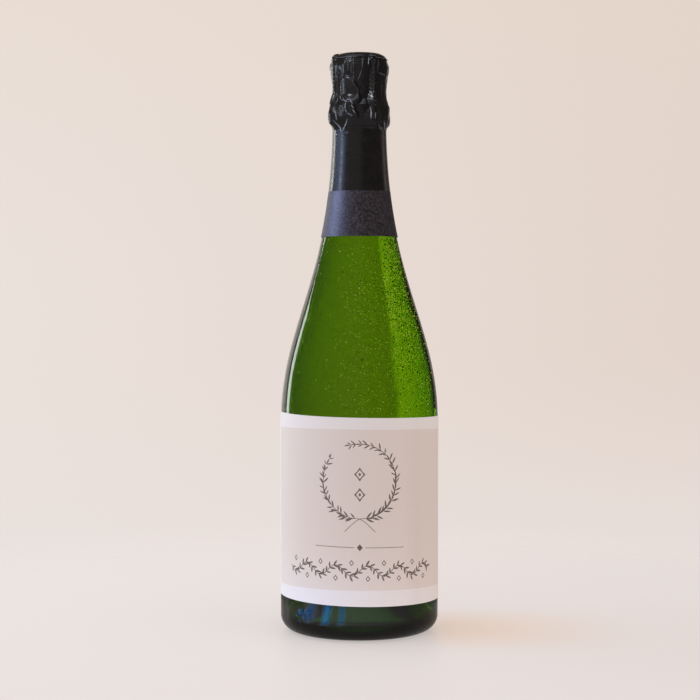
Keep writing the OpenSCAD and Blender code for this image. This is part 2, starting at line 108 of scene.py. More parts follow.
def blend_colours(tree, share, first, second):
    """The first colour where share is 0, the second where it is 1."""
    made = tree.nodes.new("ShaderNodeMix")
    made.data_type = "RGBA"
    for name, value in (("Factor_Float", share), ("A_Color", first), ("B_Color", second)):
        link(tree, value, next(s for s in made.inputs if s.identifier == name))
    return next(s for s in made.outputs if s.identifier == "Result_Color")


def split(tree, vector):
    """The x, y and z of a vector."""
    made = tree.nodes.new("ShaderNodeSeparateXYZ")
    link(tree, vector, made.inputs[0])
    return made.outputs


def srgb(red, green, blue):
    """A colour written from 0 to 255, as light: a small value over 12.92, or else a power of 2.4
    of it."""
    value = np.array([red, green, blue]) / 255
    return tuple(np.where(value <= 0.04045, value / 12.92, ((value + 0.055) / 1.055) ** 2.4))


WALL_LEFT, WALL_RIGHT = srgb(235, 225, 219), srgb(227, 213, 204)
WALL_HIGH, WALL_LOW = srgb(230, 214, 199), srgb(233, 225, 222)
AMBIENT_LEFT, AMBIENT_RIGHT = (0.88, 0.85, 0.86), (0.90, 0.79, 0.70)
# Steps on the parts of a ray's direction: from and to, then the values there if not 0 and 1.
WALL_ACROSS, WALL_UP, WALL_DOWN = (-0.25, 0.25), (0.0, 0.35, 0, 0.75), (-0.02, -0.2)
AMBIENT_ACROSS, AMBIENT_FRONT = (-0.6, 0.6), (-0.2, -0.9, 1, 0.86)
THROUGH_BEHIND, THROUGH_LEFT = (0.76, 0.62, 1, 0.05), (-0.21, -0.26, 1, 2.0)
THROUGH_RIGHT = (0.25, 0.75, 1, 0.75)
MIRROR_SHIFT, MIRROR_BEHIND = (0.0, 0.1, 0.0, 0.11), (0.80, 0.74, 1, 0.11)
MIRROR_RIGHT = (0.05, 0.3, 1, 0.45)

world = bpy.data.worlds.new("room")
world.use_nodes = True
scene.world = world
tree = world.node_tree
tree.nodes.clear()
across, depth, height = split(tree, tree.nodes.new("ShaderNodeTexCoord").outputs["Generated"])
wall = blend_colours(tree, ramp(tree, across, *WALL_ACROSS), WALL_LEFT, WALL_RIGHT)
wall = blend_colours(tree, ramp(tree, height, *WALL_UP), wall, WALL_HIGH)
wall = blend_colours(tree, ramp(tree, height, *WALL_DOWN), wall, WALL_LOW)
ambient = blend_colours(tree, ramp(tree, across, *AMBIENT_ACROSS), AMBIENT_LEFT, AMBIENT_RIGHT)
rays = tree.nodes.new("ShaderNodeLightPath").outputs
seen = rays["Is Camera Ray"]
in_glass = maths(tree, "MAXIMUM", rays["Is Glossy Ray"], rays["Is Transmission Ray"])
shown = maths(tree, "MAXIMUM", seen, in_glass)
through = product(
    tree, ramp(tree, depth, *THROUGH_BEHIND), ramp(tree, across, *THROUGH_LEFT),
    ramp(tree, across, *THROUGH_RIGHT),
)
mirror_depth = maths(tree, "SUBTRACT", depth, ramp(tree, across, *MIRROR_SHIFT))
mirrored = product(
    tree, ramp(tree, mirror_depth, *MIRROR_BEHIND), ramp(tree, across, *MIRROR_RIGHT)
)
level = blend(tree, rays["Is Reflection Ray"], through, mirrored)
level = blend(tree, seen, level, 1.0)
level = blend(tree, shown, ramp(tree, depth, *AMBIENT_FRONT), level)
glow = tree.nodes.new("ShaderNodeBackground")
link(tree, blend_colours(tree, shown, ambient, wall), glow.inputs["Color"])
link(tree, level, glow.inputs["Strength"])
link(tree, glow.outputs[0], tree.nodes.new("ShaderNodeOutputWorld").inputs["Surface"])


def lamp(name, size, energy, colour, spot, target, mirrored=True):
    """A soft rectangular lamp at a spot, facing a target."""
    data = bpy.data.lights.new(name, "AREA")
    data.shape = "RECTANGLE"
    data.size, data.size_y = size
    data.energy = energy
    data.color = colour
    made = bpy.data.objects.new(name, data)
    made.location = spot
    made.rotation_euler = (Vector(target) - Vector(spot)).to_track_quat("-Z", "Y").to_euler()
    made.visible_glossy = mirrored
    made.visible_transmission = mirrored
    made.visible_camera = False
    scene.collection.objects.link(made)
    return made


lamp("window", (0.20, 0.5), 1.2, (0.90, 0.97, 0.92), (-0.93, 0.755, 0.24), (0, 0, 0.17))
lamp("sky", (1.1, 1.1), 5.0, (0.72, 0.88, 1.0), (-0.95, 0.15, 0.80), (0, 0, 0.1), mirrored=False)


# Floor: a smooth pale table top, faintly glossy, that fades out into the room's own colour some way
# from the bottle. A warm pool of light, as from light through the bottle, is painted on it on the
# right. The glass mirrors it dark, but for painted soft blue patches of sky light in front and a
# painted grey glow right beside the heel.
def material(name):
    """A new material. Returns it with its tree and its Principled shader."""
    made = bpy.data.materials.new(name)
    made.use_nodes = True
    return made, made.node_tree, made.node_tree.nodes["Principled BSDF"]


def put(tree, shader, **values):
    """Feeds a shader's sockets, named with _ for a space."""
    for name, value in values.items():
        link(tree, value, shader.inputs[name.replace("_", " ")])


def object_place(tree):
    """Object coordinates."""
    return tree.nodes.new("ShaderNodeTexCoord").outputs["Object"]


FLOOR_HALF = 0.9
FLOOR_COLOUR, FLOOR_WARM = srgb(234, 227, 225), srgb(240, 214, 196)
# Shares of the floor's colour: lit by the lamps, glowing by itself where it is looked at or
# mirrored, and how much of the lit share the mirrored floor keeps.
LIT_SHARE, SEEN_SHARE, MIRRORED_SHARE, MIRRORED_KEPT = 0.45, 0.54, 0.05, 0.2
FLOOR_FADE = (0.16, 0.5, 1, 0)
# The painted warm pool of light: its steps across on both sides, and its step away from the middle
# line.
WARM_FROM, WARM_TO, WARM_ASIDE = (0.03, 0.055), (0.17, 0.05), (0.075, 0.01)
# Painted blue patches of sky reflection: the turn of the middle of each, half its width and its share.
# Then their steps outwards and on how steeply they are looked at, and the step from pale to blue.
BLUE_PATCHES = ((-39, 9, 0.9), (-21, 7, 0.5), (-62, 14, 0.4), (-10, 100, 0.14))
BLUE_FROM, BLUE_TO, BLUE_STEEP, BLUE_TINT = (0.07, 0.10), (0.165, 0.125), (0.5, 0.35), (0.0, 0.6)
FLOOR_BLUE, BLUE_LEVEL = (0.10, 0.42, 1.0), 4.4
# The painted grey glow where the glass mirrors the floor right beside it: a step on the ray's length.
CLOSE_STEP, CLOSE_LEVEL = (0.13, 0.07), 0.24

floor_material, tree, shader = material("table_top")
rays = tree.nodes.new("ShaderNodeLightPath").outputs
mirrored = rays["Is Reflection Ray"]
looked_at = maths(tree, "MAXIMUM", rays["Is Camera Ray"], rays["Is Diffuse Ray"])
x, y, _ = split(tree, object_place(tree))
warm = product(
    tree, ramp(tree, x, *WARM_FROM), ramp(tree, x, *WARM_TO),
    ramp(tree, maths(tree, "ABSOLUTE", y), *WARM_ASIDE),
)
reach = tree.nodes.new("ShaderNodeVectorMath")
reach.operation = "LENGTH"
link(tree, object_place(tree), reach.inputs[0])
reach = reach.outputs["Value"]
bearing = maths(tree, "ARCTAN2", x, maths(tree, "MULTIPLY", y, -1.0))
bearing = maths(tree, "MULTIPLY", bearing, float(np.degrees(1)))
blue = 0.0
for middle, half, share in BLUE_PATCHES:
    off = maths(tree, "ABSOLUTE", maths(tree, "SUBTRACT", bearing, float(middle)))
    blue = maths(tree, "ADD", blue, ramp(tree, off, float(half), 0.0, 0.0, share))
steep = split(tree, tree.nodes.new("ShaderNodeNewGeometry").outputs["Incoming"])[2]
blue = product(
    tree, blue, ramp(tree, reach, *BLUE_FROM), ramp(tree, reach, *BLUE_TO),
    ramp(tree, steep, *BLUE_STEEP), mirrored,
)
close = product(tree, ramp(tree, rays["Ray Length"], *CLOSE_STEP), mirrored)
glow = ramp(tree, looked_at, 0, 1, MIRRORED_SHARE, SEEN_SHARE)
glow = maths(tree, "MULTIPLY_ADD", close, CLOSE_LEVEL, glow)
pale = blend_colours(tree, warm, FLOOR_COLOUR, FLOOR_WARM)
lit = tuple(LIT_SHARE * value for value in FLOOR_COLOUR)
dim = tuple(MIRRORED_KEPT * value for value in lit)
put(
    tree, shader, Base_Color=blend_colours(tree, looked_at, dim, lit), Roughness=0.45,
    Specular_IOR_Level=0.12, Alpha=ramp(tree, reach, *FLOOR_FADE),
    Emission_Color=blend_colours(tree, ramp(tree, blue, *BLUE_TINT), pale, FLOOR_BLUE),
    Emission_Strength=maths(tree, "MULTIPLY_ADD", blue, BLUE_LEVEL, glow),
)
floor_mesh = bpy.data.meshes.new("floor")
corners = FLOOR_HALF * np.array([[-1, -1, 0], [1, -1, 0], [1, 1, 0], [-1, 1, 0]])
floor_mesh.from_pydata(corners.tolist(), [], [[0, 1, 2, 3]])
floor = bpy.data.objects.new("floor", floor_mesh)
floor_mesh.materials.append(floor_material)
scene.collection.objects.link(floor)


# Bottle: moulded green glass with a straight body, one long shoulder, a deep punt, and a ring
# under the lip for the wire to hold on to. The glass is about 5 mm thick all over, and its green
# comes from what it absorbs on the way through.
BODY_R, NECK_R, SHOULDER_Z, RING_LOW_Z, RING_TOP_Z, LIP_Z = 44.2, 14.5, 116.5, 288.0, 294.0, 300.0
RING_R, LIP_R, BORE_R, BORE_Z, WALL = 16.2, 14.3, 8.75, 274.0, 5.0
SHOULDER_SHARE, NECK_SHARE, TAPER_SHARE = 0.336, 0.537, 0.26
HEEL_ROUND, FOOT_W, PUNT_H, PUNT_POWER, BASE_T, VALLEY_R = 9.0, 2.2, 32.0, 1.6, 7.5, 32.825
INNER_ROUND_SHARE = 0.85
LIP_ROUND, MOUTH_ROUND, RING_ROUND, GROOVE = 1.4, 0.7, 1.5, 0.8
TURNS, SHOULDER_STEPS = 192, 121
GLASS_COLOUR, GLASS_IOR = (0.97, 1.0, 0.95), 1.52
# What the glass takes away of red, green and blue light, per metre.
GLASS_ABSORBS = np.array([230.0, 149.0, 740.0])
RIPPLE_STRETCH, RIPPLE_SCALE, RIPPLE_BUMP = (1, 1, 0.35), 60.0, (0.25, 0.0012)


def arc(centre, radius, start, end, steps):
    """Points of a circle's arc, in degrees from the first axis: the centre plus the radius times
    cosine and sine."""
    angle = np.radians(np.linspace(start, end, steps + 1))
    return np.array(centre) + radius * np.stack([np.cos(angle), np.sin(angle)], -1)


def place(r, turn, z):
    """The point at a radius, a turn and a height: the radius times the turn's sine to the right
    and its cosine to the front."""
    angle = np.radians(turn)
    return np.stack(np.broadcast_arrays(r * np.sin(angle), -r * np.cos(angle), z), -1)


def grid_faces(rows, columns, closed=True):
    """Quads of a grid of points counted row by row. When closed, the last column joins the
    first."""
    row = np.arange(rows - 1)[:, None]
    column = np.arange(columns if closed else columns - 1)[None, :]
    low, high = row * columns, (row + 1) * columns
    after = (column + 1) % columns
    return np.stack([low + column, low + after, high + after, high + column], -1).reshape(-1, 4)


def capped_faces(rows, columns):
    """Quads between rings of points, and a fan at each end round a point of its own. These two
    points follow the rings."""
    ring = np.arange(columns)
    after = (ring + 1) % columns
    hub, top = rows * columns, (rows - 1) * columns
    foot = np.stack([np.full(columns, hub), after, ring], -1)
    head = np.stack([top + ring, top + after, np.full(columns, hub + 1)], -1)
    return [grid_faces(rows, columns), foot, head]


def lathe(outline, turns=TURNS):
    """Turns an outline of [radius, height] round the bottle's axis, on which it starts and ends.
    Returns points and faces."""
    ring = outline[1:-1]
    turn = np.arange(turns) * 360 / turns
    points = place(ring[:, :1], turn[None, :], ring[:, 1:]).reshape(-1, 3)
    ends = [[0, 0, outline[0, 1]], [0, 0, outline[-1, 1]]]
    return np.vstack([points, ends]), capped_faces(len(ring), turns)


def piece(name, body, points, faces, finish, stands_for=(), crease=35):
    """Puts points in millimetres and faces into a mesh that is smooth but for edges sharper than
    a crease angle, gives it its finish, and seats it on its body."""
    mesh = bpy.data.meshes.new(name)
    faces = [face for part in faces for face in part.tolist()]
    mesh.from_pydata((points * MM).tolist(), [], faces)
    mesh.shade_smooth()
    mesh.set_sharp_from_angle(angle=np.radians(crease))
    mesh.materials.append(finish)
    made = bpy.data.objects.new(name, mesh)
    scene.collection.objects.link(made)
    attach(made, body)
    if stands_for:
        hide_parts(*stands_for)
    return made


def noise(tree, where, scale, detail=2.0):
    """A noise from 0 to 1."""
    return node(tree, "ShaderNodeTexNoise", where, scale, detail)


def bump(tree, height, strength, distance):
    """A normal for a surface that a height from 0 to 1 raises by up to a distance."""
    return node(tree, "ShaderNodeBump", strength, distance, None, height)


def stretched(tree, scale):
    """Object coordinates, each multiplied by its part of a scale."""
    return node(tree, "ShaderNodeMapping", object_place(tree), None, None, scale)


def absorb(tree, per_metre):
    """Volume that takes away the given share of red, green and blue light per metre."""
    made = tree.nodes.new("ShaderNodeVolumeAbsorption")
    density = float(np.max(per_metre))
    made.inputs["Color"].default_value = tuple(1 - per_metre / density) + (1,)
    made.inputs["Density"].default_value = density
    tree.links.new(made.outputs[0], tree.nodes["Material Output"].inputs["Volume"])


def shoulder(t):
    """The shoulder's long curve from the body to the ring: a cubic Bezier of [radius, height]
    whose two upright handles are shares of its height."""
    rise = RING_LOW_Z - SHOULDER_Z
    corners = np.array([
        [BODY_R, SHOULDER_Z],
        [BODY_R, SHOULDER_Z + SHOULDER_SHARE * rise],
        [NECK_R, RING_LOW_Z - NECK_SHARE * rise],
        [NECK_R, RING_LOW_Z],
    ])
    t = t[:, None]
    weights = np.hstack([(1 - t) ** 3, 3 * (1 - t) ** 2 * t, 3 * (1 - t) * t**2, t**3])
    return weights @ corners


shoulder_line = shoulder(np.linspace(0, 1, SHOULDER_STEPS))


def glass_r(z):
    """The outer radius of the glass at a height between the heel and the ring."""
    return np.interp(z, shoulder_line[:, 1], shoulder_line[:, 0])


def punt_line(r, low_z, steps=26):
    """The punt from its tip out to a radius: its height falls with a power of the radius."""
    share = np.linspace(0, 1, steps)
    return np.stack([r * share, low_z + PUNT_H * (1 - share**PUNT_POWER)], -1)


def base_inside(gap):
    """The inside of the base from the axis to the wall, moved up and in by a gap."""
    inner_round = INNER_ROUND_SHARE * BASE_T
    curve = arc((VALLEY_R, BASE_T + inner_round), inner_round - gap, -90, 0, steps=10)
    return np.vstack([punt_line(VALLEY_R, BASE_T + gap)[:-1], curve])


taper_z = RING_LOW_Z - TAPER_SHARE * (RING_LOW_Z - SHOULDER_Z)
inner_line = np.vstack([
    shoulder_line[shoulder_line[:, 1] < taper_z] - [WALL, 0],
    [[glass_r(taper_z) - WALL, taper_z], [BORE_R, BORE_Z]],
])
groove_r = LIP_R - GROOVE
finish_line = np.vstack([
    arc((RING_R - RING_ROUND, RING_LOW_Z + RING_ROUND), RING_ROUND, -90, 0, steps=8),
    arc((RING_R - RING_ROUND, RING_TOP_Z - RING_ROUND), RING_ROUND, 0, 90, steps=8),
    [[groove_r, RING_TOP_Z], [groove_r, RING_TOP_Z + GROOVE], [LIP_R, RING_TOP_Z + 2 * GROOVE]],
    arc((LIP_R - LIP_ROUND, LIP_Z - LIP_ROUND), LIP_ROUND, 0, 90, steps=8),
    arc((BORE_R + MOUTH_ROUND, LIP_Z - MOUTH_ROUND), -MOUTH_ROUND, -90, 0, steps=5),
])
heel = arc((BODY_R - HEEL_ROUND, HEEL_ROUND), HEEL_ROUND, -90, 0, steps=20)
glass_outline = np.vstack([
    punt_line(BODY_R - HEEL_ROUND - FOOT_W, 0), heel, shoulder_line, finish_line,
    inner_line[::-1], base_inside(0)[::-1],
])
glass_material, tree, shader = material("green_glass")
ripple = noise(tree, stretched(tree, RIPPLE_STRETCH), RIPPLE_SCALE, 1.0)
put(
    tree, shader, Base_Color=GLASS_COLOUR, Roughness=0.0, IOR=GLASS_IOR, Transmission_Weight=1.0,
    Normal=bump(tree, ripple, *RIPPLE_BUMP),
)
absorb(tree, GLASS_ABSORBS)
points, faces = lathe(glass_outline)
piece("glass", "bottle", points, faces, glass_material, ["bottle_glass"])

# Wine: pale yellow, filled up to a level that the neck band hides. Its outer face laps a little
# into the wall of the glass, so that no film of air shows between them.
FILL_Z, WINE_LAP = 232.0, 0.12
WINE_IOR, WINE_ABSORBS = 1.34, np.array([0.5, 0.9, 5.0])

wine_material, tree, shader = material("wine")
put(tree, shader, Base_Color=(1.0, 1.0, 1.0), Roughness=0.0, IOR=WINE_IOR, Transmission_Weight=1.0)
absorb(tree, WINE_ABSORBS)
wine_side = inner_line[inner_line[:, 1] < FILL_Z] + [WINE_LAP, 0]
wine_top = np.interp(FILL_Z, inner_line[:, 1], inner_line[:, 0]) + WINE_LAP
wine_outline = np.vstack([base_inside(-WINE_LAP), wine_side, [[wine_top, FILL_Z], [0, FILL_Z]]])
points, faces = lathe(wine_outline)
piece("wine_fill", "bottle", points, faces, wine_material, ["wine"])

# Cork: a body of bonded cork granules whose head swelled and was pressed over the lip, and two
# discs of natural cork glued on at the wine's end.
CORK_R, CORK_LOW_Z, DISC_H, HEAD_R, HEAD_H, SEAT_Z = 8.7, 276.0, 6.0, 14.7, 20.3, 320.3
CREST_H, CREST_R, TRACK_IN_R, DISC_EDGE = 0.8, 8.69, 11.1, 0.35
HEAD_SIDE_SHARES = np.array([
    [0.81, 0], [0.89, 0.07], [0.945, 0.20], [0.985, 0.40],
    [1, 0.60], [0.985, 0.80], [0.93, 0.935], [0.87, 1],
])
CORK_DARK, CORK_MID, CORK_PALE = srgb(142, 98, 58), srgb(196, 152, 104), srgb(222, 186, 140)
# How far cells are swayed in metres, and the scales of the sway and of the pores as shares of
# the grain's. Then the steps of seams, pores and browns.
CELL_SWAY, SWAY_SHARE, PORE_SHARE = 0.0009, 0.7, 4.5
SEAM_STEP, PORE_STEP, PORE_DEPTH_STEP = (0.0, 0.09, 1, 0), (0.60, 0.72, 0, 0.8), (0.58, 0.75)
PALE_STEP, DARK_SOFT, SEAM_TINT, SEAM_DEPTH, CORK_BUMP = (0.1, 0.9), 0.1, 0.55, -0.6, (0.7, 0.0003)


def smooth_line(corners, steps):
    """A smooth line through its corners (Catmull-Rom): between two corners it is the cubic whose
    slope at each is half the way from the corner before to the corner after."""
    corners = np.asarray(corners, float)
    padded = np.vstack([2 * corners[0] - corners[1], corners, 2 * corners[-1] - corners[-2]])
    at = np.linspace(0, len(corners) - 1, steps)
    first = np.minimum(at.astype(int), len(corners) - 2)
    t = (at - first)[:, None]
    before, here, there, after = (padded[first + k] for k in range(4))
    return 0.5 * (
        2 * here + (there - before) * t
        + (2 * before - 5 * here + 4 * there - after) * t**2
        + (3 * here - before - 3 * there + after) * t**3
    )


def node_group(name, inputs, outputs):
    """A shader node group, from the names and kinds of its sockets. Returns it with the sockets
    that its own nodes read and fill."""
    made = bpy.data.node_groups.new(name, "ShaderNodeTree")
    for way, sockets in (("INPUT", inputs), ("OUTPUT", outputs)):
        for label, kind in sockets.items():
            made.interface.new_socket(name=label, in_out=way, socket_type="NodeSocket" + kind)
    return made, made.nodes.new("NodeGroupInput").outputs, made.nodes.new("NodeGroupOutput").inputs


def placed(tree, group, **values):
    """Puts a node group into a material and feeds its inputs. Returns its outputs."""
    made = tree.nodes.new("ShaderNodeGroup")
    made.node_tree = group
    for name, value in values.items():
        link(tree, value, made.inputs[name])
    return made.outputs


# The grain of cork: cells in browns of their own, the dark ones under a share of all, with dark
# seams between them and fine pores over all. Its height is less in seams and pores.
cork_grain, into, out = node_group(
    "cork_grain", {"Place": "Vector", "Grain": "Float", "Dark": "Float"},
    {"Colour": "Color", "Height": "Float"},
)
tree = cork_grain
sway = tree.nodes.new("ShaderNodeTexNoise")
link(tree, into["Place"], sway.inputs["Vector"])
link(tree, maths(tree, "MULTIPLY", into["Grain"], SWAY_SHARE), sway.inputs["Scale"])
sway = node(
    tree, "ShaderNodeVectorMath", sway.outputs["Color"], (CELL_SWAY,) * 3, operation="MULTIPLY"
)
warped = node(tree, "ShaderNodeVectorMath", into["Place"], sway, operation="ADD")
cell = tree.nodes.new("ShaderNodeTexVoronoi")
gap = tree.nodes.new("ShaderNodeTexVoronoi")
gap.feature = "DISTANCE_TO_EDGE"
for cells in (cell, gap):
    link(tree, warped, cells.inputs["Vector"])
    link(tree, into["Grain"], cells.inputs["Scale"])
hue = node(tree, "ShaderNodeSeparateColor", cell.outputs["Color"])
pore_scale = maths(tree, "MULTIPLY", into["Grain"], PORE_SHARE)
pore = noise(tree, into["Place"], pore_scale, 3.0)
dark_end = maths(tree, "SUBTRACT", into["Dark"], DARK_SOFT)
seam = ramp(tree, gap.outputs["Distance"], *SEAM_STEP)
tone = blend_colours(tree, ramp(tree, hue, *PALE_STEP), CORK_MID, CORK_PALE)
for share in (
    ramp(tree, hue, into["Dark"], dark_end),
    maths(tree, "MULTIPLY", seam, SEAM_TINT),
    ramp(tree, pore, *PORE_STEP),
):
    tone = blend_colours(tree, share, tone, CORK_DARK)
pit = maths(tree, "MULTIPLY", ramp(tree, pore, *PORE_DEPTH_STEP), -1.0)
link(tree, tone, out["Colour"])
link(tree, maths(tree, "MULTIPLY_ADD", seam, SEAM_DEPTH, pit), out["Height"])


def cork_finish(name, grain, dark_share):
    """A material of cork with so many cells per metre, a share of them dark."""
    made, tree, shader = material(name)
    grained = placed(tree, cork_grain, Place=object_place(tree), Grain=grain, Dark=dark_share)
    normal = bump(tree, grained["Height"], *CORK_BUMP)
    put(tree, shader, Base_Color=grained["Colour"], Roughness=0.82, Normal=normal)
    return made


cork_material = cork_finish("bonded_cork", 520.0, 0.22)
disc_material = cork_finish("natural_cork", 190.0, 0.12)
side_line = smooth_line(HEAD_SIDE_SHARES, steps=40) * [HEAD_R, HEAD_H] + [0, LIP_Z]
cork_foot = CORK_LOW_Z + 2 * DISC_H
cork_outline = np.vstack([
    [[0, cork_foot], [CORK_R, cork_foot], [CORK_R, LIP_Z]],
    side_line,
    [[TRACK_IN_R - CREST_H, SEAT_Z], [CREST_R, SEAT_Z + CREST_H], [0, SEAT_Z + CREST_H]],
])
points, faces = lathe(cork_outline, turns=128)
piece("cork_stopper", "cork", points, faces, cork_material, ["cork_body"])
for name, low in (("cork_disc_lower", CORK_LOW_Z), ("cork_disc_upper", CORK_LOW_Z + DISC_H)):
    edge = np.vstack([
        arc((CORK_R - DISC_EDGE, low + DISC_EDGE), DISC_EDGE, -90, 0, steps=4),
        arc((CORK_R - DISC_EDGE, low + DISC_H - DISC_EDGE), DISC_EDGE, 0, 90, steps=4),
    ])
    points, faces = lathe(np.vstack([[[0, low]], edge, [[0, low + DISC_H]]]), turns=96)
    own_name = name.replace("cork", "natural")
    piece(own_name, "cork", points, faces, disc_material, [name])

# Metal cap: a pressed disc of lacquered steel on the cork's head. Its middle is raised, the top
# ring of wire lies in the flat track round it, and its skirt is dented where each leg passes.
CAP_T, CAP_RISE, CAP_CROWN, CAP_SKIRT, CAP_R = 0.3, 1.1, 0.4, 3.7, 15.5
RISE_R, TRACK_R, PIN_HOLE_R = 11.1, 13.0, 0.3
TRACK_Z, RIM_Z = SEAT_Z + CAP_T, SEAT_Z - CAP_SKIRT
CAP_TOP_Z = TRACK_Z + CAP_RISE
LEG_TURNS = np.array([28.0, 118.0, 208.0, 298.0])
DENT_HALF, DENT_DEPTH = 8.0, 0.32
CAP_BRIGHT, CAP_DULL, CAP_BUMP = srgb(214, 178, 96), srgb(176, 138, 66), (0.15, 0.0001)
# Scuffs are drawn out round the cap: their pattern is eight times as fine upwards.
CAP_SPIN, CAP_TURNS, SCUFF_FROM = (1, 1, 8), 144, 0.3


def apart(turn, other):
    """The difference between two turns, from -180 to 180."""
    return (turn - other + 180) % 360 - 180


def ease(a, b, x):
    """0 up to 1 between a and b, with soft ends: 3 t^2 - 2 t^3."""
    t = np.clip((x - a) / (b - a), 0, 1)
    return t * t * (3 - 2 * t)


def closed_shell(outer, inner):
    """A skin closed all round: the outer grid's points, the inner grid's, and faces that join
    their first and last rows. Grids run [row, column] and close on themselves in columns."""
    rows, columns = outer.shape[:2]
    face = grid_faces(rows, columns)
    count = rows * columns
    ends = []
    for row, turned in ((0, False), (rows - 1, True)):
        a = row * columns + np.arange(columns)
        b = row * columns + (np.arange(columns) + 1) % columns
        quad = np.stack([b, a, a + count, b + count], -1)
        ends.append(quad[:, ::-1] if turned else quad)
    points = np.vstack([outer.reshape(-1, 3), inner.reshape(-1, 3)])
    return points, [face, face[:, ::-1] + count, *ends]


# Scuffs on metal: a fine noise whose high places are rougher, up to a full value of it.
scuffs, into, out = node_group(
    "scuffs", dict(Place="Vector", Scale="Float", Full="Float", Smooth="Float", Rough="Float"),
    dict(Roughness="Float", Height="Float"),
)
fine = noise(scuffs, into["Place"], into["Scale"], 3.0)
rough = ramp(scuffs, fine, SCUFF_FROM, into["Full"], into["Smooth"], into["Rough"])
link(scuffs, rough, out["Roughness"])
link(scuffs, fine, out["Height"])

# Blotches, as of tarnish on metal or of flecks in paper: how far they cover a place, from 0
# where a noise is low up to the most where it is full.
blotches, into, out = node_group(
    "blotches",
    dict(Place="Vector", Scale="Float", Detail="Float", Start="Float", Full="Float", Most="Float"),
    dict(Share="Float"),
)
spots = noise(blotches, into["Place"], into["Scale"], into["Detail"])
spots = ramp(blotches, spots, into["Start"], into["Full"], 0.0, into["Most"])
link(blotches, spots, out["Share"])


def blotched(tree, first, second, **values):
    """The first colour with blotches of the second. The values say the size of the blotches."""
    share = placed(tree, blotches, Place=object_place(tree), **values)["Share"]
    return blend_colours(tree, share, first, second)


cap_line = smooth_line([
    [CAP_R, RIM_Z], [CAP_R - 0.4, RIM_Z + 1.9], [CAP_R - 1.25, TRACK_Z - 0.6], [TRACK_R, TRACK_Z],
    [RISE_R + 0.35, TRACK_Z], [RISE_R - 0.2, TRACK_Z + 0.25], [RISE_R - 0.8, TRACK_Z + 0.9],
    [RISE_R * 0.85, CAP_TOP_Z], [RISE_R * 0.62, CAP_TOP_Z + 0.08],
    [RISE_R * 0.56, CAP_TOP_Z + 0.30], [RISE_R * 0.45, CAP_TOP_Z + 0.32],
    [RISE_R * 0.2, CAP_TOP_Z + CAP_CROWN], [PIN_HOLE_R, CAP_TOP_Z + CAP_CROWN],
], steps=120)
along = np.gradient(cap_line, axis=0)
across = np.stack([along[:, 1], -along[:, 0]], -1) / np.hypot(along[:, 0], along[:, 1])[:, None]
turn = np.arange(CAP_TURNS) * 360 / CAP_TURNS
near_leg = np.max(1 - ease(0, DENT_HALF, np.abs(apart(turn[:, None], LEG_TURNS))), axis=1)
low_part = 1 - ease(RIM_Z, TRACK_Z, cap_line[:, 1])
skins = []
for depth in (0, CAP_T):
    line = cap_line - depth * across
    r = line[:, :1] - DENT_DEPTH * low_part[:, None] * near_leg[None, :]
    skins.append(place(r, turn[None, :], line[:, 1:]))
cap_material, tree, shader = material("lacquered_cap")
scuffed = placed(
    tree, scuffs, Place=stretched(tree, CAP_SPIN), Scale=900.0, Full=0.75, Smooth=0.24, Rough=0.42
)
tarnish = dict(Scale=130.0, Detail=4.0, Start=0.35, Full=0.7, Most=1.0)
put(
    tree, shader, Base_Color=blotched(tree, CAP_BRIGHT, CAP_DULL, **tarnish), Metallic=1.0,
    Roughness=scuffed["Roughness"], Coat_Weight=0.4, Normal=bump(tree, scuffed["Height"], *CAP_BUMP),
)
points, faces = closed_shell(*skins)
piece("metal_cap", "cage", points, faces, cap_material, ["cap_plaque"])

# Wire cage: four galvanised wires, each up one leg, a quarter round the top ring and down the
# next leg, so that every leg is two strands twisted together. They part below into eyes for the
# belt, whose two ends are twisted on into the key and its loop.
STRAND_D, BELT_D, WIRE_GAP = 0.8, 1.0, 0.1
STRAND_OFF, EYE_OFF, EYE_END_SHARE = 0.45, 1.1, 2.2
# The top ring, the bend over the cap's edge and the leg's way down from there.
WIRE_Z, TOP_RING_R, LEG_BEND, BEND_R, LEG_TOP_R = 321.025, 11.6, 2.3, 13.95, 16.25
BEND_Z, WAIST_Z, BELT_Z, LEG_END_Z = 318.725, 302.0, 287.2, 284.6
LEG_WAIST_R, LEG_BELT_R, LEG_TWISTS, TURN_OFF_R = 15.85, 17.82, 7.25, 1.6
# The key lies against the cage and leans to the left going up. Its loop lies closer in than its
# foot.
KEY_TURN, KEY_LEAN, KEY_R, KEY_LOOP_R = -8.0, 0.27, 17.37, 15.6
KEY_W, KEY_H, SHANK_H, KEY_OFF, HUG_R, SHANK_TWISTS = 9.0, 12.6, 8.2, 0.55, 15.05, 1.5
KEY_FALL_SHARE, CORNER_SOFT = 0.333, 4.0
STRAND_SIDES, BELT_SIDES, WIRE_CREASE = 10, 12, 60
WIRE_BRIGHT, WIRE_DULL, WIRE_BUMP = srgb(196, 198, 202), srgb(150, 150, 152), (0.2, 0.00005)
UPWARD = np.array([0.0, 0.0, 1.0])


def leg_r(z):
    """The radius of a leg's middle line under the bend: in to the waist beside the lip, and out
    over the ring to the belt."""
    high = LEG_WAIST_R + (LEG_TOP_R - LEG_WAIST_R) * ease(WAIST_Z, BEND_Z, z)
    low = LEG_BELT_R + (LEG_WAIST_R - LEG_BELT_R) * ease(RING_TOP_Z, WAIST_Z, z)
    return np.where(z > WAIST_Z, high, low)


def leg_middle(steps):
    """The middle line of a leg as [radius, height]: a quarter circle round the bend, then its
    radius down to its end. Also the outward direction square to it."""
    bend = arc((BEND_R, BEND_Z), LEG_BEND, 90, 0, steps=12)[:-1]
    z = np.linspace(BEND_Z, LEG_END_Z, steps)
    line = np.vstack([bend, np.stack([leg_r(z), z], -1)])
    slope = np.gradient(line, axis=0)
    out = np.stack([-slope[:, 1], slope[:, 0]], -1) / np.hypot(slope[:, 0], slope[:, 1])[:, None]
    return line, out


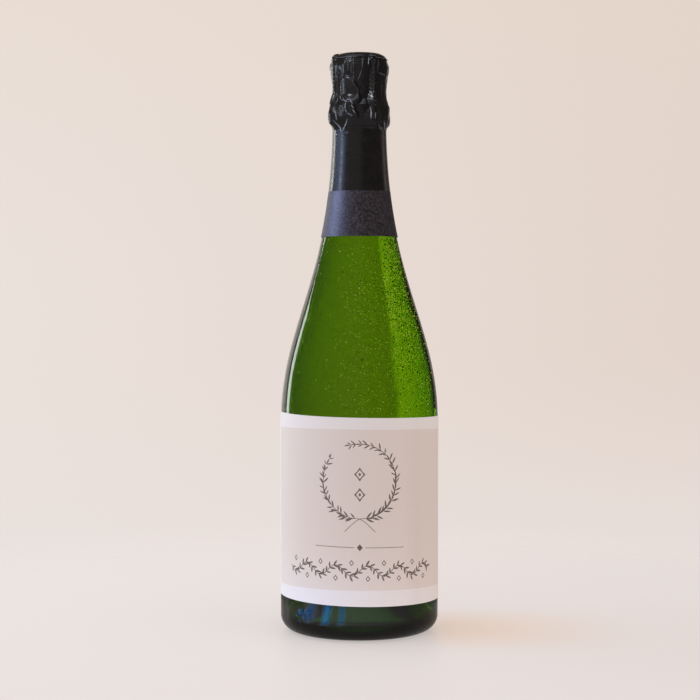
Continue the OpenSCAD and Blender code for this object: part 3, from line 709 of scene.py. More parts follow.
def past_eye(z):
    """How far a height is over or under the eye round the belt, and 0 within it."""
    return np.sign(z - BELT_Z) * np.maximum(np.abs(z - BELT_Z) - BELT_D, 0)


def leg_phase(z):
    """How far a leg's strands have turned at a height: none at the top, and all of the leg's
    twists at the eye."""
    return 2 * np.pi * LEG_TWISTS * (1 - past_eye(z) / past_eye(WIRE_Z))


def strand(turn, sign, steps=230):
    """One strand of a leg, from the top down: the middle line plus a turning offset. The strands
    are one behind the other in the eye, where the offset grows and doesn't turn."""
    line, out = leg_middle(steps)
    z = line[:, 1]
    phase = leg_phase(z)
    eye = ease(BELT_D, EYE_END_SHARE * BELT_D, np.abs(z - BELT_Z))
    off = EYE_OFF + (STRAND_OFF - EYE_OFF) * eye
    spot = line + (sign * off * np.sin(phase))[:, None] * out
    sideways = place(1.0, turn + 90, 0.0)
    guide = place(out[:, 0], turn, out[:, 1])
    aside = (sign * off * np.cos(phase))[:, None] * sideways
    return place(spot[:, 0], turn, spot[:, 1]) + aside, guide


def turn_off(turn, sign):
    """Where a strand turns off the top ring towards its leg: a quarter circle in the flat."""
    angle = np.radians(np.linspace(0, 90, 9))
    x = STRAND_OFF + TURN_OFF_R * (1 - np.sin(angle))
    y = np.sqrt(TOP_RING_R**2 - (STRAND_OFF + TURN_OFF_R) ** 2) + TURN_OFF_R * (1 - np.cos(angle))
    return place(y, turn, WIRE_Z) + sign * x[:, None] * place(1.0, turn + 90, 0.0)


def tube(path, guide, d, sides):
    """A round wire along a path: a circle square to the path at each point, whose first radius
    points the way of the guide. Its two ends are closed."""
    along = np.gradient(path, axis=0)
    along /= np.linalg.norm(along, axis=1)[:, None]
    first = guide - np.sum(guide * along, axis=1)[:, None] * along
    first /= np.linalg.norm(first, axis=1)[:, None]
    second = np.cross(along, first)
    angle = np.arange(sides) * 2 * np.pi / sides
    rim = np.cos(angle)[:, None] * first[:, None, :] + np.sin(angle)[:, None] * second[:, None, :]
    points = (path[:, None, :] + d / 2 * rim).reshape(-1, 3)
    return np.vstack([points, path[:1], path[-1:]]), capped_faces(len(path), sides)


wire_material, tree, shader = material("cage_wire")
scuffed = placed(
    tree, scuffs, Place=object_place(tree), Scale=700.0, Full=0.7, Smooth=0.22, Rough=0.44
)
tarnish = dict(Scale=160.0, Detail=3.0, Start=0.4, Full=0.65, Most=1.0)
put(
    tree, shader, Base_Color=blotched(tree, WIRE_BRIGHT, WIRE_DULL, **tarnish), Metallic=1.0,
    Roughness=scuffed["Roughness"], Normal=bump(tree, scuffed["Height"], *WIRE_BUMP),
)


def wire(name, body, path, guide, d, sides, stands_for):
    """A wire of the cage as a piece."""
    points, faces = tube(path, guide, d, sides)
    piece(name, body, points, faces, wire_material, [stands_for], WIRE_CREASE)


ring_trim = np.degrees(np.arcsin((STRAND_OFF + TURN_OFF_R) / TOP_RING_R))
for name, start in zip(("right", "back", "left", "front"), LEG_TURNS):
    first, first_guide = strand(start, 1)
    second, second_guide = strand(start + 90, -1)
    ring_turn = np.linspace(start + ring_trim, start + 90 - ring_trim, 40)[1:-1]
    ring = place(TOP_RING_R, ring_turn, WIRE_Z)
    top = np.vstack([turn_off(start, 1)[::-1], ring, turn_off(start + 90, -1)])
    path = np.vstack([first[::-1], top, second])
    guide = np.vstack([first_guide[::-1], np.broadcast_to(UPWARD, top.shape), second_guide])
    wire("wire_" + name, "cage", path, guide, STRAND_D, STRAND_SIDES, "cage_wire_" + name)

END_X = KEY_OFF + BELT_D
END_Y = np.sqrt(HUG_R**2 - END_X**2)
corner_turn = np.degrees(np.arccos(HUG_R / LEG_BELT_R)) + CORNER_SOFT
end_trim = np.degrees(np.arcsin(END_X / HUG_R))


def belt_r(turn):
    """The radius of the belt: it hugs the neck, and near each leg it runs straight out to the
    eye, so its radius is the neck's over the cosine of the turn from where it leaves the neck."""
    from_leg = np.min(np.abs(apart(turn[..., None], LEG_TURNS)), axis=-1)
    soft = np.sqrt(from_leg**2 + CORNER_SOFT**2)
    return HUG_R / np.cos(np.radians(np.maximum(corner_turn - soft, 0)))


def belt_end(sign):
    """An end of the belt, from its tip inwards and round a quarter circle to where it starts
    round the neck."""
    angle = np.radians(np.linspace(0, 90, 8)[:-1])
    x = np.concatenate([[KEY_OFF], END_X - BELT_D * np.cos(angle)])
    y = np.concatenate([[KEY_R - BELT_D / 2 - WIRE_GAP], END_Y + BELT_D * (1 - np.sin(angle))])
    return place(y, KEY_TURN, BELT_Z) + sign * x[:, None] * place(1.0, KEY_TURN + 90, 0.0)


turn = np.linspace(KEY_TURN + end_trim, KEY_TURN + 360 - end_trim, 240)
belt_path = np.vstack([belt_end(1), place(belt_r(turn), turn, BELT_Z), belt_end(-1)[::-1]])
belt_guide = np.broadcast_to(UPWARD, belt_path.shape)
wire("belt_wire", "cage", belt_path, belt_guide, BELT_D, BELT_SIDES, "cage_belt")


def key_surface(h):
    """The radius of the surface that the key lies on, which falls from over the ring to the
    cork, at a height above the belt."""
    fall = ease(RING_TOP_Z - BELT_Z, SHANK_H + KEY_FALL_SHARE * KEY_H, h)
    return KEY_R + (KEY_LOOP_R - KEY_R) * fall


def key_point(x, h, out):
    """A point of the key from its place across and up the key and out of its surface."""
    r = key_surface(h)
    return place(r + out, KEY_TURN + np.degrees((x - KEY_LEAN * h) / r), BELT_Z + h)


def shank_angle(h):
    """How far the shank's two sides have turned round each other at a height above the belt:
    evenly from over the belt up to the loop."""
    return 2 * np.pi * SHANK_TWISTS * np.maximum(0, (h - BELT_D / 2) / (SHANK_H - BELT_D / 2))


def shank(sign):
    """One side of the key's shank, which turns evenly round the other side on its way up."""
    h = np.linspace(0, SHANK_H, 60)
    angle = shank_angle(h)
    return key_point(sign * KEY_OFF * np.cos(angle), h, sign * KEY_OFF * np.sin(angle))


loop_start = np.degrees(np.arcsin(2 * KEY_OFF / KEY_W))
loop_rise = SHANK_H + KEY_H / 2 * np.cos(np.radians(loop_start))
angle = np.radians(np.linspace(loop_start, 360 - loop_start, 90)[1:-1])
loop = key_point(KEY_W / 2 * np.sin(angle), loop_rise - KEY_H / 2 * np.cos(angle), 0)
key_path = np.vstack([shank(-1), loop, shank(1)[::-1]])
wire("key_wire", "key", key_path, key_path * [1, 1, 0], BELT_D, BELT_SIDES, "cage_key")

# Front label: heavy uncoated paper with a white margin and a beige field, wrapped round the front
# half of the body and glued on, a little askew.
LABEL_Z, LABEL_H, LABEL_HALF, LABEL_T, SKIN_GAP = 19.9, 102.0, 86.5, 0.2, 0.05
LABEL_SLANT, LABEL_MARGIN = 1.1, 8.7
# The field's upper and lower edges bow with the square of the distance from the middle, and tilt
# a little with it.
FIELD_HALF, FIELD_H, FIELD_BOW, FIELD_TILT, FIELD_SOFT = 60.8, 87.0, 0.0004, -0.01, (-0.1, 0.1)
FIELD_COLOUR, MARGIN_COLOUR = srgb(229, 219, 217), srgb(237, 233, 237)
SPECK_COLOUR = (0.5, 0.45, 0.42)
FIBRE_SCALE, COCKLE_SCALE, COCKLE_SHARE, PAPER_BUMP = 2600.0, 90.0, 2.0, (0.35, 0.00006)

# Paper: its fine fibres and a slight cockle, as a height.
paper, into, out = node_group("paper_fibre", {"Place": "Vector"}, {"Height": "Float"})
fibres = noise(paper, into["Place"], FIBRE_SCALE, 4.0)
cockle = noise(paper, into["Place"], COCKLE_SCALE)
link(paper, maths(paper, "MULTIPLY_ADD", cockle, COCKLE_SHARE, fibres), out["Height"])


def paper_normal(tree):
    """The normal of paper."""
    return bump(tree, placed(tree, paper, Place=object_place(tree))["Height"], *PAPER_BUMP)


def own_uv(tree):
    """The u and v of a piece's own UV map, and a third value that is 0."""
    return split(tree, tree.nodes.new("ShaderNodeUVMap").outputs["UV"])


def set_uv(made, u, v):
    """Gives every corner of a mesh the u and v of its point."""
    mesh = made.data
    corner = np.empty(len(mesh.loops), int)
    mesh.loops.foreach_get("vertex_index", corner)
    layer = mesh.uv_layers.new(name="UVMap")
    layer.data.foreach_set("uv", np.stack([u[corner], v[corner]], -1).ravel())


def on_label(arc_mm, up, lift):
    """The point lifted off the label's back, at a distance round the glass and up the label: its
    height falls to the right with the tangent of the label's slant."""
    z = LABEL_Z + up - np.tan(np.radians(LABEL_SLANT)) * arc_mm
    return place(glass_r(z) + SKIN_GAP + lift, np.degrees(arc_mm / BODY_R), z)


def shell_grid(outer, inner):
    """A sheet closed at its four edges, from the grids [row, column] of its two faces."""
    rows, columns = outer.shape[:2]
    count = rows * columns
    front = grid_faces(rows, columns, closed=False)
    row, column = np.arange(rows), np.arange(columns)
    edge = np.concatenate([
        column, row[1:] * columns + columns - 1, (rows - 1) * columns + column[-2::-1],
        row[-2:0:-1] * columns,
    ])
    after = np.roll(edge, -1)
    rim = np.stack([after, edge, edge + count, after + count], -1)
    points = np.vstack([outer.reshape(-1, 3), inner.reshape(-1, 3)])
    return points, [front, front[:, ::-1] + count, rim]


label_arc = np.radians(LABEL_HALF) * BODY_R
label_across = np.linspace(-label_arc, label_arc, 161)
across_mm, up_mm = np.meshgrid(label_across, np.linspace(0, LABEL_H, 61))
label_material, tree, shader = material("label_paper")
u, v, _ = own_uv(tree)
from_side = maths(tree, "SUBTRACT", FIELD_HALF, maths(tree, "ABSOLUTE", u))
bow = maths(tree, "MULTIPLY", u, maths(tree, "MULTIPLY_ADD", u, FIELD_BOW, FIELD_TILT))
from_middle = maths(tree, "SUBTRACT", maths(tree, "ADD", v, bow), LABEL_MARGIN + FIELD_H / 2)
from_edge = maths(tree, "SUBTRACT", FIELD_H / 2, maths(tree, "ABSOLUTE", from_middle))
inside = maths(tree, "MINIMUM", from_side, from_edge)
tone = blend_colours(tree, ramp(tree, inside, *FIELD_SOFT), MARGIN_COLOUR, FIELD_COLOUR)
flecks = dict(Scale=700.0, Detail=5.0, Start=0.62, Full=0.75, Most=0.12)
put(
    tree, shader, Base_Color=blotched(tree, tone, SPECK_COLOUR, **flecks), Roughness=0.75,
    Specular_IOR_Level=0.3, Normal=paper_normal(tree),
)
points, faces = shell_grid(on_label(across_mm, up_mm, LABEL_T), on_label(across_mm, up_mm, 0))
label = piece("label_sheet", "bottle", points, faces, label_material, ["front_label"])
set_uv(label, np.tile(across_mm.ravel(), 2), np.tile(up_mm.ravel(), 2))

# Label print: a wreath of two leafy branches round two lozenges, a thin rule, and a garland with
# lozenges below it, printed in one dark grey ink. It is an ornament with no lettering.
INK, INK_LIFT, INK_DEPTH = srgb(112, 102, 99), 0.012, 0.05
WREATH_UP, WREATH_R, LEAF_STEP, STEM_W, TAIL_DROP = 67.7, 20.3, 3.3, 0.3, 7.0
# Each branch of the wreath: the angles where it starts and ends, and how far aside its tail ends.
BRANCHES = ((-90, 105, 8.2), (270, 146, -8.5))
TAIL_BEND_SHARES, BRANCH_START = (0.45, 0.36), 8
LEAF_TILTS, LEAF_LENGTHS, LEAF_SLIM_SHARE, LEAF_POWER = (42, -42, 10), (4.8, 3.2), 0.2, 0.8
LEAF_AT_VARIES, LEAF_TILT_VARIES, LEAF_LENGTH_VARIES = 3, 14, (0.8, 1.15)
MIDDLE_UPS, MIDDLE_W, MIDDLE_H, MIDDLE_HOLE, PIP_W, PIP_H = (71.5, 60.5), 3.0, 3.7, 0.68, 0.8, 1.0
RULE_UP, RULE_HALF, RULE_W, RULE_GAP, RULE_MARK = 32.0, 25.0, 0.3, 3.0, (1.6, 1.9)
GARLAND_UP, GARLAND_HALF, GARLAND_WAVE, GARLAND_SWAY, GARLAND_W = 19.4, 44.0, 17.6, 2.9, 0.4
GARLAND_STEP, GARLAND_TILTS, BAY_OFF, BAY_MARK, BAY_END = 2.2, (42, -42), 4.2, (1.3, 1.7, 0.6), 5
SPRIG_TILT_VARIES, SPRIG_LENGTHS, SPRIG_SLIM_SHARE = 10, (2.9, 3.8), 0.28


def leaves(roots, angles, lengths, widths, sides=7):
    """Pointed leaves as outlines [leaf, point, 2]: the half width follows a power of a sine
    along the leaf, and the leaf is turned by its angle in degrees about its root."""
    t = np.linspace(0, 1, sides)
    half = np.sin(np.pi * t) ** LEAF_POWER / 2
    x, y = np.concatenate([t, t[-2:0:-1]]), np.concatenate([-half, half[-2:0:-1]])
    along, aside = np.outer(lengths, x), np.outer(widths, y)
    c, s = np.cos(np.radians(angles))[:, None], np.sin(np.radians(angles))[:, None]
    return np.asarray(roots)[:, None, :] + np.stack([along * c - aside * s, along * s + aside * c], -1)


def lozenge(x, up, half_w, half_h, hole=0.0):
    """A lozenge's four corners, or those of its four bars round a hole of a share of it."""
    corners = np.array([[1, 0], [0, 1], [-1, 0], [0, -1]]) * [half_w, half_h]
    if hole:
        after = np.roll(corners, -1, axis=0)
        return np.stack([corners, after, hole * after, hole * corners], 1) + [x, up]
    return corners[None] + [x, up]


def ink_faces(places):
    """The top and the bottom of ink over places [..., 2] on the label."""
    return [on_label(places[..., 0], places[..., 1], LABEL_T + lift) for lift in (INK_LIFT, -INK_DEPTH)]


def ink_solid(outlines):
    """Thin solids on the paper from outlines [shape, point, 2]: each has a top and a bottom fan
    round its middle and a side wall. Returns points and faces."""
    shapes, count = outlines.shape[:2]
    solid = ink_faces(outlines) + ink_faces(outlines.mean(1))
    points = np.vstack([part.reshape(-1, 3) for part in solid])
    ring = np.arange(shapes * count).reshape(shapes, count)
    after = np.roll(ring, -1, axis=1)
    low = shapes * count
    hub = np.broadcast_to(2 * low + np.arange(shapes)[:, None], ring.shape)
    top = np.stack([ring, after, hub], -1).reshape(-1, 3)
    base = np.stack([after + low, ring + low, hub + shapes], -1).reshape(-1, 3)
    wall = np.stack([after, ring, ring + low, after + low], -1).reshape(-1, 4)
    return points, [top, base, wall]


def ribbon(path, width):
    """A line of ink of even width along a path [arc, up], as a thin closed strip."""
    along = np.gradient(path, axis=0)
    along /= np.linalg.norm(along, axis=1)[:, None]
    aside = np.stack([-along[:, 1], along[:, 0]], -1) * width / 2
    return shell_grid(*ink_faces(np.stack([path - aside, path + aside])))


def on_wreath(angle):
    """Places on the wreath's circle at angles in degrees."""
    angle = np.radians(angle)
    return np.stack([WREATH_R * np.cos(angle), WREATH_UP + WREATH_R * np.sin(angle)], -1)


def branch(start, end, tail):
    """One branch of the wreath: a stem that crosses the other's below and bends round, and pairs
    of leaves whose length, angle and place vary a little."""
    ring = on_wreath(np.linspace(start, end, 120))
    low = WREATH_UP - WREATH_R
    aside, drop = TAIL_BEND_SHARES
    foot = [[-tail, low - TAIL_DROP], [-tail * aside, low - TAIL_DROP * drop]]
    made = [ribbon(smooth_line(np.vstack([foot, ring[::12]]), 160), STEM_W)]
    way = np.sign(end - start)
    count = int(abs(end - start) * np.pi / 180 * WREATH_R / LEAF_STEP)
    for tilt in LEAF_TILTS:
        at = np.linspace(start + way * BRANCH_START, end, count)
        at = at + rng.uniform(-LEAF_AT_VARIES, LEAF_AT_VARIES, count)
        size = np.linspace(*LEAF_LENGTHS, count) * rng.uniform(*LEAF_LENGTH_VARIES, count)
        turned = at + way * 90 + tilt + rng.uniform(-LEAF_TILT_VARIES, LEAF_TILT_VARIES, count)
        made.append(ink_solid(leaves(on_wreath(at), turned, size, LEAF_SLIM_SHARE * size)))
    return made


def garland_up(x):
    """The garland's line: a sine wave."""
    return GARLAND_UP + GARLAND_SWAY * np.sin(2 * np.pi * x / GARLAND_WAVE)


rng = np.random.default_rng(5)
parts = [part for run in BRANCHES for part in branch(*run)]
for up in MIDDLE_UPS:
    parts.append(ink_solid(lozenge(0, up, MIDDLE_W, MIDDLE_H, MIDDLE_HOLE)))
    parts.append(ink_solid(lozenge(0, up, PIP_W, PIP_H)))
wave = np.linspace(-GARLAND_HALF, GARLAND_HALF, 241)
parts.append(ribbon(np.stack([wave, garland_up(wave)], -1), GARLAND_W))
root_x = np.arange(-GARLAND_HALF + GARLAND_STEP / 2, GARLAND_HALF, GARLAND_STEP)
steepest = GARLAND_SWAY * 2 * np.pi / GARLAND_WAVE
slope = np.degrees(np.arctan(steepest * np.cos(2 * np.pi * root_x / GARLAND_WAVE)))
root = np.stack([root_x, garland_up(root_x)], -1)
for tilt in GARLAND_TILTS:
    turned = slope + tilt + rng.uniform(-SPRIG_TILT_VARIES, SPRIG_TILT_VARIES, len(root_x))
    size = rng.uniform(*SPRIG_LENGTHS, len(root_x))
    parts.append(ink_solid(leaves(root, turned, size, SPRIG_SLIM_SHARE * size)))
quarter = GARLAND_WAVE / 4
for x in np.arange(-GARLAND_HALF, GARLAND_HALF - BAY_END, 2 * quarter) + quarter:
    bay = GARLAND_UP - BAY_OFF * np.sign(np.sin(2 * np.pi * x / GARLAND_WAVE))
    parts.append(ink_solid(lozenge(x, bay, *BAY_MARK)))
for x in (-RULE_HALF, RULE_GAP):
    line = np.linspace(x, x + RULE_HALF - RULE_GAP, 40)
    parts.append(ribbon(np.stack([line, 0 * line + RULE_UP], -1), RULE_W))
parts.append(ink_solid(lozenge(0, RULE_UP, *RULE_MARK)))


def joined(parts):
    """Puts pieces of a mesh into one, each [points, faces]."""
    points, faces, count = [], [], 0
    for own, groups in parts:
        points.append(own)
        faces += [group + count for group in groups]
        count += len(own)
    return np.vstack(points), faces


ink_material, tree, shader = material("label_ink")
put(tree, shader, Base_Color=INK, Roughness=0.6, Specular_IOR_Level=0.3)
points, faces = joined(parts)
piece("label_print", "bottle", points, faces, ink_material)

# Neck band: dark matte paper with a mottled grain, glued round the foil, its ends lapping at the
# back.
BAND_Z, BAND_H, BAND_T, FOIL_T = 220.5, 25.3, 0.35, 0.12
LAP_TURN, LAP_EDGE = 7.0, 0.4
BAND_DARK, BAND_PALE = srgb(28, 25, 30), srgb(68, 61, 72)


def lap(turn, height):
    """The step of a skin whose end lies over its start at the back."""
    return height * (1 - ease(LAP_TURN - LAP_EDGE, LAP_TURN, np.abs(apart(turn, 180))))


band_material, tree, shader = material("band_paper")
mottle = dict(Scale=1100.0, Detail=4.0, Start=0.38, Full=0.64, Most=1.0)
put(
    tree, shader, Base_Color=blotched(tree, BAND_DARK, BAND_PALE, **mottle), Roughness=0.45,
    Specular_IOR_Level=0.9, Normal=paper_normal(tree),
)
turn = np.arange(TURNS)[None, :] * 360 / TURNS
z = np.linspace(BAND_Z, BAND_Z + BAND_H, 25)[:, None]
inner_r = glass_r(z) + 2 * SKIN_GAP + FOIL_T
outer = place(inner_r + BAND_T + lap(turn, BAND_T), turn, z)
points, faces = closed_shell(outer, place(inner_r, turn, z))
band = piece("neck_band_paper", "bottle", points, faces, band_material, ["neck_band"])

# Foil: one black lacquered sheet pressed round the neck, the ring, the cage and the cork, so that the
# wires show through it, with pleats where it was gathered. It tears under the cage, and a pale bluish
# painted highlight runs along its sharpest crests.
FOIL_Z, TEAR_Z, TEAR_HALF = 224.0, 281.5, 0.05
FOIL_CLEAR, FOIL_BEND_R = FOIL_T + 0.06, 2.6
FOIL_BLACK, FOIL_CREST_GLINT = (0.14, 0.138, 0.15), (0.58, 0.66, 0.80)
# Patches in which the painted crest highlight is stronger and the lacquer rougher, and how much
# Metallic is left under the painted highlight.
PATCH_SCALE, PATCH_GLINT, PATCH_ROUGH = 210.0, (0.3, 0.6, 0.7, 1.0), (0.35, 0.7, 0.22, 0.34)
DENT_SCALE, FOIL_BUMP, METALLIC_UNDER_GLINT = 420.0, (0.16, 0.0002), (0.0, 1.0, 1.0, 0.35)
# Slopes of the sheet beside a wire, and how softly two folds meet.
TENT_SLOPE, LEG_FOOT_SLOPE, BELT_SLOPE, SOFT, BELT_SOFT = 1.05, 0.6, 0.8, 0.18, 0.5
# A leg's beads and the groove between its strands.
BEAD_H, BEAD_KEPT, ROPE_SLANT, LEG_GROOVE, GROOVE_HALF, EYE_REACH = 0.3, 0.15, 2.4, 0.3, 0.7, 5.5
# The key's loop stands in a pillow that is wider and lower than the loop itself.
PILLOW_H, PILLOW_RISE, PEAR_W, PEAR_DROP = 0.5, 0.3, 0.9, 0.6
# How strong the painted highlight on crests is, and half the width of the painted highlight line in
# millimetres.
ROPE_GLINT, ROPE_GLINT_HALF, LOOP_GLINT, LOOP_GLINT_HALF, SHANK_GLINT_HALF = 0.45, 0.8, 0.2, 0.45, 0.5
FULL_GLINT_H, GLINT_POWER, GLINT_HALF_SHARE, BEADS_SHOW = 0.8, 1.2, 0.8, 0.1
# Heights, and radii on the top, between which a form comes in or goes out.
FOLDS_IN_Z, FOLDS_OUT_R = (262, 277), (9.0, 12.5)
STEEPER_Z, BEADS_IN_Z, BEADS_OUT_Z = (289.0, 297.0), (297.0, 303.0), (318.0, 314.0)
LEG_IN_Z, DRAWN_IN_Z = (TEAR_Z - 2.8, LEG_END_Z - 0.2), (TEAR_Z - 2.5, TEAR_Z + 3.5)
PLEAT_R, PLEAT_END = 15.5, 0.75
CRUMPLE_WAVES, CRUMPLE_H, CRUMPLE_AROUND, CRUMPLE_UP = 12, 0.014, (6, 34), 1.5
FOIL_COLUMNS, FRONT_SHARE, FOIL_CREASE, FAR_BELOW = 288, 0.58, 85, -99.0
# Rows of the sleeve as runs of heights, and the height over which its ends show their lap. Then
# how far the last row under the bend and the first on the top are from the bend.
LAP_FROM_Z, BEND_STEP_Z, BEND_STEP_R = 246, 0.1, 0.3
SLEEVE_ROWS = ((FOIL_Z, LAP_FROM_Z, 6), (247, 275, 18), (275.3, TEAR_Z - TEAR_HALF, 24))

# The foil's outer face between the legs, as [radius, height] up to the bend of the legs, from
# there [angle round the bend, distance from its middle], and [radius, height over it] on top.
VALLEY = np.array([
    [14.67, 281.5], [14.95, 282.9], [15.6, 284.6], [16.25, 286.3], [16.6, 288.0], [16.95, 289.6],
    [17.0, 291.4], [16.95, 293.0], [16.2, 294.7], [15.45, 296.4], [15.2, 298.1], [15.1, 302.0],
    [15.15, 306.5], [15.5, 309.9], [16.2, 313.3], [16.4, 315.2], [16.1, 316.9], [15.55, 318.725],
])
BEND_VALLEY = np.array([[0, 1.60], [30, 1.50], [53, 1.62], [75, 2.05], [90, 2.55]])
TOP_VALLEY = np.array([
    [13.95, 2.55], [13.2, 3.0], [12.4, 3.40], [11.6, 3.50], [8.0, 3.52], [0.0, 3.52],
])

# Pleats: each is a stroke [turn, place along the foil] -> [turn, place], with its height and its
# half width in millimetres.
PLEATS = [
    ((-29, 319.5), (-35, 308.5), 0.35, 0.5), ((-35, 308.5), (-38, 302), 0.35, 0.5),
    ((-38, 302), (-46, 298.5), 0.4, 0.5), ((-46, 298.5), (-44, 296.6), 0.4, 0.5),
    ((-44, 296.6), (-19.5, 294.4), 0.75, 0.5), ((-14, 305), (-5, 302.6), 0.4, 0.5),
    ((-5, 302.6), (-2.3, 299.8), 0.4, 0.5), ((-2.3, 299.8), (-6.6, 297), 0.4, 0.5),
    ((-6.6, 297), (-14.2, 295), 0.4, 0.5), ((-27, 294.4), (-27, 290.6), 0.9, 0.55),
    ((-27, 290.6), (-23.8, 288.5), 0.8, 0.5), ((-23.8, 288.5), (-13.7, 286.5), 0.7, 0.5),
    ((-22.5, 321), (-22, 311), 0.45, 0.45), ((-12.2, 321.5), (-11.5, 309.8), 0.45, 0.4),
    ((-11.5, 309.8), (-14, 305), 0.4, 0.45), ((-16.5, 321.5), (-15.5, 310), 0.35, 0.4),
    ((7.5, 320.2), (5.2, 312.5), 0.4, 0.45), ((5.2, 312.5), (-3.5, 306), 0.4, 0.45),
    ((20.5, 321.5), (17.2, 314.0), 0.45, 0.5), ((27, 318.5), (33, 316.4), 0.5, 0.5),
    ((41, 320), (38, 311.5), 0.3, 0.8), ((41, 311.2), (66, 309.8), 0.5, 0.5),
    ((52, 308), (54, 297), 0.3, 0.6), ((64, 318), (72, 312), 0.3, 0.9),
    ((20.3, 291.5), (20, 285.0), 0.85, 0.5), ((26.8, 288.8), (27, 284.8), 0.75, 0.45),
    ((-49.5, 289.5), (-47, 284.8), 0.8, 0.5), ((76, 286.6), (80, 283.2), 0.65, 0.45),
    ((36.8, 283.6), (63.8, 276.8), 0.5, 0.5), ((42, 281.8), (67.8, 275.5), 0.4, 0.5),
    ((-57, 277.4), (-48, 277.0), 0.6, 0.4), ((-40, 276.2), (-33, 276.6), 0.6, 0.4),
    ((-28, 277.4), (-23, 278.4), 0.5, 0.4), ((-50, 317), (-58, 306), 0.35, 0.9),
    ((-62, 309), (-60, 297), 0.3, 0.9), ((80, 300), (70, 290), 0.3, 0.9),
    ((95, 318), (90, 304), 0.4, 0.8), ((135, 320), (140, 306), 0.4, 0.8),
    ((160, 321), (152, 309), 0.45, 0.7), ((152, 309), (161, 298), 0.35, 0.8),
    ((178, 321), (184, 311), 0.4, 0.6), ((195, 317), (192, 302), 0.35, 0.8),
    ((225, 320), (231, 308), 0.4, 0.7), ((247, 321), (243, 310), 0.45, 0.6),
    ((243, 310), (256, 300), 0.35, 0.8), ((275, 319), (270, 306), 0.4, 0.8),
    ((110, 296), (102, 288), 0.3, 0.8), ((170, 297), (176, 287), 0.3, 0.8),
    ((240, 296), (232, 287), 0.3, 0.8), ((145, 295), (150, 286), 0.3, 0.8),
]
# Where the foil is drawn in under the cage: two folds that meet in a point, the turn and the
# height of the point, their half spread in degrees and their height in millimetres.
GATHERS = [
    (-39.0, 278.2, 15.0, 7.0), (74.0, 278.2, 15.0, 7.0),
    (163.0, 278.4, 14.0, 6.5), (253.0, 278.0, 16.0, 6.8),
]
GATHER_H, GATHER_HALF = 0.8, 0.6
for at, low_z, half_turn, rise in GATHERS:
    for side in (-half_turn, half_turn):
        PLEATS.append(((at + side, low_z + rise), (at, low_z), GATHER_H, GATHER_HALF))


def soft_max(a, b, soft=SOFT):
    """The larger of two values, rounded where they are alike: their mean and half of the root
    of their difference squared and a softness squared."""
    return (a + b + np.sqrt((a - b) ** 2 + soft**2)) / 2


def tent(x, r, slope=TENT_SLOPE):
    """The height of a sheet laid over a wire of a radius, at a distance from its middle: round
    over the wire, and a straight slope beyond."""
    edge = r * slope / np.sqrt(1 + slope**2)
    x = np.abs(x)
    over = np.sqrt(np.maximum(r**2 - np.minimum(x, edge) ** 2, 0))
    return over - slope * np.maximum(x - edge, 0)


def hump(x):
    """1 at 0 and down to 0 at 1 and beyond: (1 - x^2)^2."""
    return np.clip(1 - x**2, 0, 1) ** 2


def foil_rows(heights, bends, tops):
    """The rays that the foil is measured along: each row's start [radius, height], its direction,
    and its place along the foil. Rows follow heights, then angles round the bend, then radii."""
    start = np.vstack([
        np.stack([0 * heights, heights], -1),
        np.broadcast_to([BEND_R, BEND_Z], (len(bends), 2)),
        np.stack([tops, 0 * tops + BEND_Z], -1),
    ])
    angle = np.radians(bends)
    way = np.vstack([
        np.broadcast_to([1.0, 0.0], (len(heights), 2)),
        np.stack([np.cos(angle), np.sin(angle)], -1),
        np.broadcast_to([0.0, 1.0], (len(tops), 2)),
    ])
    bend_end = BEND_Z + FOIL_BEND_R * np.radians(90)
    along = np.concatenate([heights, BEND_Z + FOIL_BEND_R * angle, bend_end + BEND_R - tops])
    return start, way, along


def crumple(along, turn):
    """Small dents all over: waves of seeded directions and lengths, added."""
    rng = np.random.default_rng(7)
    total = 0.0
    for _ in range(CRUMPLE_WAVES):
        around, upward = rng.integers(*CRUMPLE_AROUND), rng.uniform(-CRUMPLE_UP, CRUMPLE_UP)
        phase = rng.uniform(0, 6.28)
        total = total + np.sin(around * np.radians(turn) + upward * along + phase)
    return CRUMPLE_H * total


def pleats(along, turn):
    """The pleats' relief. A stroke's is its height times (1 - d^2)^2, d being the distance from it in
    half widths, over a fold that fades out at both of its ends. Also how strong the painted highlight
    on each crest is, which is more on a higher fold."""
    total = crest_glint = 0.0
    for (turn_a, h_a), (turn_b, h_b), height, half in PLEATS:
        x = np.radians(apart(turn, turn_a)) * PLEAT_R
        y = along - h_a
        ex, ey = np.radians(apart(turn_b, turn_a)) * PLEAT_R, h_b - h_a
        length = np.hypot(ex, ey)
        t = np.clip((x * ex + y * ey) / length**2, 0, 1)
        far = np.hypot(x - t * ex, y - t * ey) / half
        end = 1 - PLEAT_END * np.abs(2 * t - 1) ** 3
        total = total + height * end * hump(far)
        glint_share = (height / FULL_GLINT_H) ** GLINT_POWER * end * hump(far / GLINT_HALF_SHARE)
        crest_glint = np.maximum(crest_glint, glint_share)
    return total + crumple(along, turn), crest_glint


